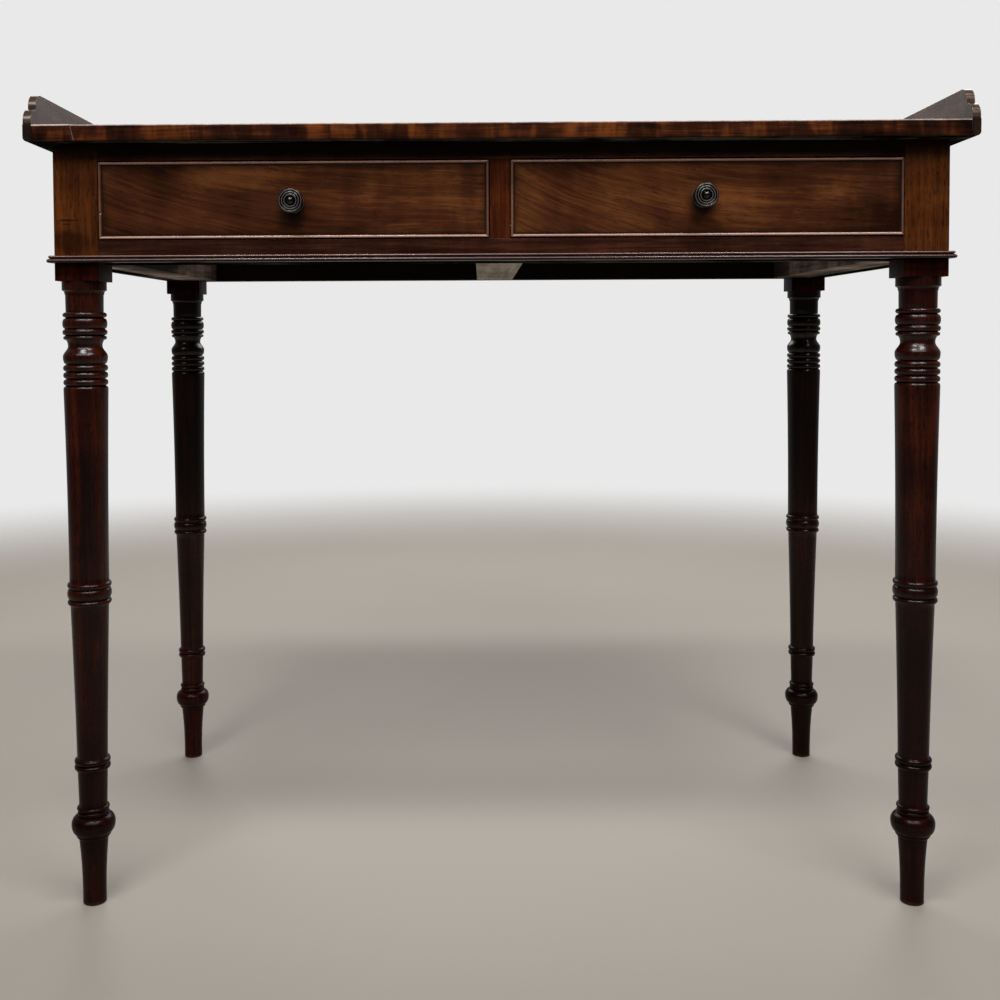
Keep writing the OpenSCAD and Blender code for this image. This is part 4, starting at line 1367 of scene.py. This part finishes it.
@dataclass
class Legs:
    """The four turned legs."""

    shop: WoodShop
    shape: TurnedLeg = field(default_factory=TurnedLeg)
    nodes: Sequence[str] = ("leg_front_left", "leg_front_right", "leg_rear_left", "leg_rear_right")
    repairs: Sequence[Mark] = (
        Mark(Effect.SOIL, (-0.4115, -0.217, 0.6722), (0.12, 0.12, 1.0), 0.0017, 0.85, ragged=0.7),
        Mark(Effect.SOIL, (-0.4135, -0.217, 0.6685), (0.16, 0.12, 1.0), 0.0012, 0.7, ragged=0.7),
        Mark(Effect.SHADE, (-0.4115, -0.217, 0.652), (0.5, 0.3, 1.0), 0.017, 0.35),
    )

    def build(self) -> None:
        """Turns one leg, and sets it and three copies in place, each with another side to the front."""
        places = [sum(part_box(node), Vector()) / 2 for node in self.nodes]
        leg = self.shape.model(places[0].x, places[0].y)
        foot = Band(0.0045, 0.0015, 0.35, Effect.WORN)
        # Painted shade: the front legs darken downwards from 0.42 m and the right one low down; painted
        # light: a lighter band round them at 0.47 m.
        front_wood = self.shop.material(
            LEG_FINISH, GrainAlong.HEIGHT, 0.0, bands=[Band(0.42, 0.02, 0.55), foot],
            marks=[Mark.level(Effect.GLOW, 0.47, 0.04, 0.25),
                   Mark.cloud(Effect.SHADE, 0.405, 0.2, 0.4, 0.2, 0.4)])
        # Painted shade under the bead: the block darkens towards its top.
        block_wood = self.shop.material(
            BLOCK_FINISH, GrainAlong.HEIGHT, 0.3, bands=[Band(0.6175, 0.6215, 0.4)])
        # Painted shadow of the top: the rear legs turn dark above 0.4 m; painted shade also darkens them low
        # down and the right one.
        shaded_rear_wood = self.shop.material(
            LEG_FINISH, GrainAlong.HEIGHT, 0.5, bands=[Band(0.28, 0.4, 0.75), Band(0.2, 0.02, 0.2), foot],
            marks=[Mark.cloud(Effect.SHADE, 0.405, 0.15, 0.4, 0.2, 0.4)])
        # Painted shadow under the top: the squares darken towards their tops.
        square_wood = self.shop.material(
            STILE_FINISH, GrainAlong.HEIGHT, 0.6, bands=[Band(0.722, 0.742, 0.92)], marks=self.repairs)
        for wood in (front_wood, square_wood, block_wood):
            leg.data.materials.append(wood)
        behind_bead, block_under = (level * MM for level in (self.shape.behind_bead, self.shape.block_under))
        for face in leg.data.polygons:
            height = face.center.z
            face.material_index = 1 if height > behind_bead else 2 if height > block_under else 0
        legs = [leg]
        for quarters, (node, place) in enumerate(zip(self.nodes[1:], places[1:]), 1):
            shift = place - places[0]
            legs.append(Bench.twin(leg, f"turned_{node}", (shift.x, shift.y, 0.0), quarters * math.pi / 2))
        leg.name = f"turned_{self.nodes[0]}"
        for node, piece in zip(self.nodes, legs):
            if "rear" in node:
                piece.data.materials[0] = shaded_rear_wood
            dress(piece, front_wood, "frame", node)


@dataclass
class Frieze:
    """The rails, the upright between the drawers and the boards on the sides and the back."""

    shop: WoodShop
    ease: float = 0.4 * MM

    def build(self) -> None:
        """Makes each board from its CAD node, eased, with painted shadow where it runs up under the top."""
        raws = {along: self.shop.material(SHADED_RAW_FINISH, along, 1.8)
                for along in (GrainAlong.WIDTH, GrainAlong.DEPTH)}
        # The bands are painted shadow under the top's overhang.
        for node, finish, along, seed, bands in (
            ("rail_top", FRIEZE_FINISH, GrainAlong.WIDTH, 0.3, [Band(0.7275, 0.735, 0.93)]),
            ("rail_bottom", FRIEZE_FINISH, GrainAlong.WIDTH, 1.3, ()),
            ("muntin", MUNTIN_FINISH, GrainAlong.HEIGHT, 0.2, [Band(0.722, 0.735, 0.9)]),
            ("side_frieze_left", FRIEZE_FINISH, GrainAlong.DEPTH, 2.3, [Band(0.722, 0.742, 0.85)]),
            ("side_frieze_right", FRIEZE_FINISH, GrainAlong.DEPTH, 3.3, [Band(0.722, 0.742, 0.85)]),
        ):
            board = Bench.eased_copy(node, f"frieze_{node}", self.ease)
            wood = self.shop.material(finish, along, seed, bands=bands)
            if along in raws:
                leave_raw(board, wood, raws[along])
            dress(board, wood, "frame", node)
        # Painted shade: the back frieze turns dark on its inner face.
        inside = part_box("back_frieze")[0].y
        refinish("back_frieze", self.shop.material(DEAL_FINISH, GrainAlong.WIDTH, 4.3, bands=[
            Band(inside + 0.003, inside + 0.001, 0.95, axis=Y)]))


@dataclass
class BeadMoulding:
    """The double bead round the lower edge of the frieze."""

    shop: WoodShop
    ease: float = 0.2 * MM
    wear: float = 0.35 * MM
    wear_size: float = 30 * MM
    pitch: float = 20 * MM
    # Pale lines on the crests: wear, and painted highlights, the upper bead's the stronger.
    crests: Sequence[tuple[float, float]] = ((0.86, 0.65), (0.38, 0.3))

    def build(self) -> None:
        """Makes the three lengths, mitred at the corners, with painted shade black in the groove and pale
        crests of wear and painted highlight.
        """
        for side, along, seed in (("front", GrainAlong.WIDTH, 0.5), ("left", GrainAlong.DEPTH, 1.5),
                                  ("right", GrainAlong.DEPTH, 2.5)):
            node = f"bead_{side}"
            length = Bench.copy_of(node, f"double_{node}")
            Bench.cut_evenly(length, node, along.axis, self.pitch)
            Bench.wear_down(length, self.wear, self.wear_size)
            Bench.ease(length, self.ease)
            low, high = (corner.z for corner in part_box(node))
            # Painted shade: a black line in the groove between the beads.
            marks = [Mark.level(Effect.SOIL, (low + high) / 2, 0.0008, 0.97, ragged=0.3)]
            for share, amount in self.crests:
                marks.append(Mark.level(Effect.WORN, low + (high - low) * share, 0.0007, amount))
            wood = self.shop.material(BEAD_FINISH, along, seed, marks=marks)
            dress(length, wood, "frame", node)


@dataclass
class Knob:
    """A turned knob, in millimetres, drawn from the drawer front outwards."""

    proud: float = 24.0
    radius: float = 11.5
    flange: float = 10.2
    neck: float = 5.5
    ring_width: float = 2.3
    spigot: tuple[float, float] = (4.0, 14.0)
    lathe_steps: int = 64

    def crests(self) -> list[float]:
        """Radius of each ring's crest."""
        return [self.radius - 0.1 - self.ring_width * (k + 0.5) for k in range(3)]

    def profile(self) -> Profile:
        """Spigot, flange, neck, back, rim, three rings and a dome.

        Returns:
            The points, from the end of the spigot to the top of the dome.
        """
        face = self.proud - 4.4
        dome = self.radius - 3 * self.ring_width - 0.7
        spigot_r, spigot_l = self.spigot
        rings = [p for k, crest in enumerate(self.crests())
                 for p in arc((crest, face + 0.3 * k), (self.ring_width / 2, 0.9), 8, 172, 10)]
        return [
            (0.0, -spigot_l), (spigot_r, -spigot_l), (spigot_r, 0.0), (self.flange - 0.8, 0.0),
            *arc((self.flange - 1.4, 1.6), (1.4, 1.2), -60, 80, 10),
            *arc((self.flange - 1.6, 7.6), (self.neck - self.flange + 1.6, 4.4), -70, 0, 12),
            *arc((self.radius - 0.6, 9.0), (self.neck - self.radius + 0.6, face - 12.6), 0, 90, 12),
            *arc((self.radius - 1.5, face - 1.8), (1.5, 1.8), -80, 70, 12),
            *rings,
            (dome + 0.3, face + 0.2),
            *arc((0.0, face + 0.6), (dome, self.proud - face - 0.6), 8, 90, 16),
        ]

    def model(self, name: str, node: str) -> Piece:
        """Turns the knob on the axis of its CAD node, pointing at the viewer.

        Args:
            name: the name of the new piece.
            node: the CAD node.

        Returns:
            The knob.
        """
        low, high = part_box(node)
        root = (low + high) / 2
        root.y = low.y + self.proud * MM
        return Bench.lathe(name, self.profile(), tuple(root), (0.0, -1.0, 0.0), self.lathe_steps)


@dataclass
class Drawer:
    """A drawer: figured front, cock beads, knob and dovetailed box."""

    shop: WoodShop
    side: str
    sweep: Sweep
    seed: float
    figure: Sequence[Mark] = ()
    chips: Sequence[tuple[str, Point, Point]] = ()
    front_ease: float = 0.25 * MM
    bead_ease: float = 0.15 * MM
    bead_thick: float = 3.2 * MM
    bead_wear: float = 0.35 * MM
    wear_size: float = 16 * MM
    pitch: float = 12 * MM

    def build(self) -> None:
        """Makes the front, the beads and the knob, and finishes the box."""
        self.body = f"drawer_{self.side}"
        self.build_front()
        # Pale noses of the beads: wear and painted highlight, the strongest on the bottom bead.
        for name, worn in (("top", 0.4), ("bottom", 0.75), ("outer", 0.15), ("inner", 0.15)):
            self.build_bead(name, worn)
        self.build_knob()
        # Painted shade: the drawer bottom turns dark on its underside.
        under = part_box(f"drawer_bottom_{self.side}")[0].z
        for part, along, bands in (
                ("side_outer", GrainAlong.DEPTH, ()), ("side_inner", GrainAlong.DEPTH, ()),
                ("back", GrainAlong.WIDTH, ()),
                ("bottom", GrainAlong.WIDTH, [Band(under + 0.0012, under + 0.0004, 0.93)])):
            wood = self.shop.material(OAK_FINISH, along, self.seed + len(part), bands=bands)
            refinish(f"drawer_{part}_{self.side}", wood)
        refinish(f"drawer_nails_{self.side}", IronFinish().material(), 0.0)

    def build_front(self) -> None:
        """Makes the figured front, with a dark border and a painted shadow under the knob."""
        node = f"drawer_front_{self.side}"
        front = Bench.eased_copy(node, f"figured_front_{self.side}", self.front_ease)
        low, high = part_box(node)
        half = (high - low) / 2
        panel = Panel(tuple((low + high) / 2), (half.x - self.bead_thick, 1.0, half.z - self.bead_thick))
        root = sum(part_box(f"knob_{self.side}"), Vector()) / 2
        # Painted shadow under the knob.
        painted_knob_shadow = Mark(Effect.SOIL, (root.x, low.y, root.z - 0.009), (1.0, 0.0, 0.9), 0.021, 0.85)
        wood = self.shop.material(
            FRONT_FINISH, GrainAlong.WIDTH, self.seed, sweep=self.sweep, panel=panel,
            marks=[painted_knob_shadow, *self.figure])
        dress(front, wood, self.body, node)

    def build_knob(self) -> None:
        """Turns the knob, with pale grey lines on the crests of its rings."""
        shape = Knob()
        node = f"knob_{self.side}"
        knob = shape.model(f"turned_{node}", node)
        middle = tuple(sum(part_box(node), Vector()) / 2)
        crests = [Mark(Effect.WORN, middle, (1.0, 0.0, 1.0), 0.00042, 0.4, ragged=0.4, ring=radius * MM)
                  for radius in shape.crests()]
        dress(knob, self.shop.material(EBONY_FINISH, GrainAlong.DEPTH, self.seed, marks=crests), self.body,
              node)

    def build_bead(self, name: str, worn: float) -> None:
        """Makes one cock bead, with its chips.

        Args:
            name: which side of the front it is on.
            worn: how pale its nose is, by wear and painted highlight.
        """
        node = f"cock_{name}_{self.side}"
        bead = Bench.copy_of(node, f"cock_bead_{name}_{self.side}")
        along = GrainAlong.WIDTH if name in ("top", "bottom") else GrainAlong.HEIGHT
        Bench.cut_evenly(bead, node, along.axis, self.pitch)
        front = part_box(node)[0].y
        nose = Bench.group_near(bead, "nose", (-1, -1, 0), (1, front + 1.2 * MM, 1))
        Bench.wear_down(bead, self.bead_wear, self.wear_size, nose)
        for which, place, size in self.chips:
            if which == name:
                Bench.chip(bead, place, size)
        Bench.ease(bead, self.bead_ease)
        # Pale nose: wear, and a painted highlight.
        wood = self.shop.material(COCK_FINISH, along, self.seed + len(name), bands=[
            Band(front + 0.0009, front + 0.0002, worn, Effect.WORN, Y)])
        dress(bead, wood, self.body, node)


@dataclass
class Carcase:
    """What carries and guides the drawers inside the frame."""

    shop: WoodShop

    def build(self) -> None:
        """Finishes the inner pieces, which keep their CAD shapes."""
        for nodes, finish, along, seed in (
            ("guide_left guide_right guide_middle kicker_left kicker_right kicker_middle", DEAL_FINISH,
             GrainAlong.DEPTH, 5.3),
            ("runner_left runner_right", RUNNER_FINISH, GrainAlong.DEPTH, 7.3),
            ("bearer", BEARER_FINISH, GrainAlong.DEPTH, 8.3),
            ("glue_blocks", DEAL_FINISH, GrainAlong.WIDTH, 6.3),
            ("drawer_stops", FRIEZE_FINISH, GrainAlong.WIDTH, 5.3),
        ):
            wood = self.shop.material(finish, along, seed)
            for node in nodes.split():
                refinish(node, wood)
        refinish("top_screws", IronFinish("screw_iron").material(), 0.0)


@dataclass(frozen=True)
class Lamp:
    """A soft lamp: where it hangs, what it points at, its size and its power in watts."""

    name: str
    place: Point
    target: Point
    size: tuple[float, float]
    power: float


@dataclass
class Studio:
    """A pale floor, a pale background, soft lamps and the camera."""

    floor_far: Colour = (170, 162, 152)
    # Painted shade: the floor is darker towards the front, where the key lamp lights it most.
    floor_near: Colour = (132, 125, 116)
    floor_change: tuple[float, float] = (-0.9, 0.6)
    wall_colour: Colour = (233, 233, 233)
    floor_radius: float = 7.0
    fade: tuple[float, float] = (1.7, 3.0)
    mirrored: tuple[float, float, float, float] = (-0.2, 0.75, 0.05, 0.28)
    ambient: float = 0.2
    lamps: Sequence[Lamp] = (
        Lamp("key", (-0.1, -2.0, 2.45), (0.0, -0.1, 0.6), (3.0, 0.9), 47.0),
        Lamp("ceiling_left", (-0.46, -1.0, 2.6), (-0.2, -0.1, 0.5), (0.7, 0.3), 23.0),
        Lamp("ceiling_right", (0.74, -1.0, 2.6), (0.2, -0.1, 0.5), (0.8, 0.3), 22.0),
        Lamp("rear", (0.2, 2.3, 2.2), (0.0, 0.1, 0.5), (3.6, 1.5), 56.0),
    )
    picture_px: float = 1000.0
    focal_px: float = 1179.9
    principal: tuple[float, float] = (468.7, 376.9)
    eye: Point = (-0.01899, -1.34434, 0.56578)
    yaw: float = -0.0101
    pitch: float = 0.0397
    roll: float = -0.0048

    def build(self) -> None:
        """Sets up everything round the table."""
        self.build_floor()
        self.build_world()
        for lamp in self.lamps:
            self.hang(lamp)
        self.build_camera()
        bpy.context.scene.view_settings.view_transform = "Standard"

    def build_floor(self) -> None:
        """Lays a round pale floor that fades into the background."""
        bpy.ops.object.select_all(action="DESELECT")
        bpy.ops.mesh.primitive_circle_add(vertices=96, radius=self.floor_radius, fill_type="NGON")
        floor = bpy.context.active_object
        floor.name = "floor"
        material = bpy.data.materials.new("pale_floor")
        w = fresh(material)
        place = w.node("TexCoord").outputs["Object"]
        near = linear(self.floor_near)
        tone = w.mix(w.spread(w.split(place)[Y], *self.floor_change), near, linear(self.floor_far))
        patches = w.spread(w.noise(place, 1.5, 2.0), 0.3, 0.7, 0.0, 0.08)
        surface = w.fill(w.node("BsdfPrincipled"), Base_Color=w.mix(patches, tone, near), Roughness=0.55,
                         Specular_IOR_Level=0.3)
        gone = w.spread(w.vector("LENGTH", place), *self.fade)
        both = w.node("MixShader", gone, surface.outputs[0], w.node("BsdfTransparent").outputs[0])
        w.node("OutputMaterial", both.outputs[0])
        floor.data.materials.append(material)

    def build_world(self) -> None:
        """Pale behind the table for the camera, dimmer in reflections, with a low even light."""
        world = bpy.data.worlds.new("studio")
        bpy.context.scene.world = world
        w = fresh(world)
        ray = w.node("LightPath").outputs
        mirrored = w.plus(ray["Is Glossy Ray"], ray["Is Transmission Ray"])
        seen = w.plus(ray["Is Camera Ray"], mirrored, clamp=True)
        forward = w.split(w.node("TexCoord").outputs["Generated"])[Y]
        level = w.most(ray["Is Camera Ray"], w.spread(forward, *self.mirrored))
        pale = w.node("Background", linear(self.wall_colour), level)
        even = w.node("Background", (1.0, 1.0, 1.0, 1.0), self.ambient)
        both = w.node("MixShader", seen, even.outputs[0], pale.outputs[0])
        w.node("OutputWorld", both.outputs[0])

    @staticmethod
    def hang(lamp: Lamp) -> None:
        """Hangs one lamp and points it.

        Args:
            lamp: the lamp.
        """
        light = bpy.data.lights.new(lamp.name, "AREA")
        light.shape = "RECTANGLE"
        light.size, light.size_y = lamp.size
        light.energy = lamp.power
        holder = bpy.data.objects.new(lamp.name, light)
        bpy.context.scene.collection.objects.link(holder)
        turn = (Vector(lamp.place) - Vector(lamp.target)).to_track_quat("Z", "Y").to_matrix().to_4x4()
        holder.matrix_world = Matrix.Translation(lamp.place) @ turn
        log.info("lamp %s: %.0f W", lamp.name, lamp.power)

    def build_camera(self) -> None:
        """Puts the camera where the photograph was taken from."""
        cos_pitch = math.cos(self.pitch)
        forward = Vector((
            math.sin(self.yaw) * cos_pitch, math.cos(self.yaw) * cos_pitch, -math.sin(self.pitch)))
        level = Vector((math.cos(self.yaw), -math.sin(self.yaw), 0.0))
        upright = level.cross(forward)
        right = math.cos(self.roll) * level + math.sin(self.roll) * upright
        up = -math.sin(self.roll) * level + math.cos(self.roll) * upright
        turn = Matrix((right, up, -forward)).transposed().to_4x4()
        data = bpy.data.cameras.new("camera")
        data.sensor_width = 36.0
        data.lens = self.focal_px * data.sensor_width / self.picture_px
        data.shift_x = 0.5 - self.principal[0] / self.picture_px
        data.shift_y = self.principal[1] / self.picture_px - 0.5
        camera = bpy.data.objects.new("camera", data)
        camera.matrix_world = Matrix.Translation(self.eye) @ turn
        bpy.context.scene.collection.objects.link(camera)
        bpy.context.scene.camera = camera


LEFT_FIGURE = (
    Mark.cloud(Effect.GLOW, -0.247, 0.712, 0.3, 0.02, 0.36, lean=0.9),
    Mark.cloud(Effect.GLOW, -0.07, 0.7, 0.3, 0.034, 0.3),
    Mark.cloud(Effect.GLOW, -0.36, 0.712, 0.4, 0.026, 0.2),
    Mark.cloud(Effect.GLOW, -0.32, 0.675, 0.4, 0.03, 0.12),
    Mark.cloud(Effect.GLOW, -0.09, 0.662, 0.2, 0.012, 0.3, lean=0.5),
    Mark(Effect.SHADE, (-0.03, 0.0, 0.705), (1.0, 0.0, 0.3), 0.012, 0.2),
    Mark.cloud(Effect.SHADE, -0.33, 0.722, 0.5, 0.02, 0.3),
)
LEFT_CHIPS = (
    ("outer", (-0.3805, -0.2184, 0.6789), (0.0026, 0.003, 0.0034)),
    ("inner", (-0.0136, -0.2186, 0.6692), (0.0022, 0.0028, 0.003)),
    ("bottom", (-0.262, -0.2186, 0.6548), (0.004, 0.0016, 0.0014)),
    ("bottom", (-0.118, -0.2187, 0.6556), (0.003, 0.0014, 0.0012)),
)
RIGHT_FIGURE = (
    Mark.cloud(Effect.GLOW, 0.25, 0.69, 0.22, 0.022, 0.12),
    Mark.cloud(Effect.GLOW, 0.33, 0.712, 0.3, 0.03, 0.2),
    Mark.cloud(Effect.SHADE, 0.13, 0.672, 0.25, 0.02, 0.14),
    Mark.cloud(Effect.SHADE, 0.368, 0.664, 0.4, 0.034, 0.25),
    Mark.cloud(Effect.SHADE, 0.06, 0.722, 0.25, 0.016, 0.3),
)
RIGHT_CHIPS = (
    ("inner", (0.0106, -0.2185, 0.6657), (0.0024, 0.003, 0.003)),
    ("bottom", (0.148, -0.2187, 0.6547), (0.0034, 0.0015, 0.0013)),
)


def main() -> None:
    """Builds the studio, then the table piece by piece."""
    logging.basicConfig(level=logging.INFO, format="%(name)s %(message)s")
    bpy.ops.object.select_all(action="DESELECT")
    shop = WoodShop()
    Studio().build()
    for part in (Top, Gallery, Legs, Frieze, BeadMoulding):
        part(shop).build()
    Drawer(shop, "left", Sweep(-0.4, 0.31, 0.062), 0.15, LEFT_FIGURE, LEFT_CHIPS).build()
    Drawer(shop, "right", Sweep(0.0, 0.27, 0.076), 0.85, RIGHT_FIGURE, RIGHT_CHIPS).build()
    Carcase(shop).build()


if __name__ == "__main__":
    main()
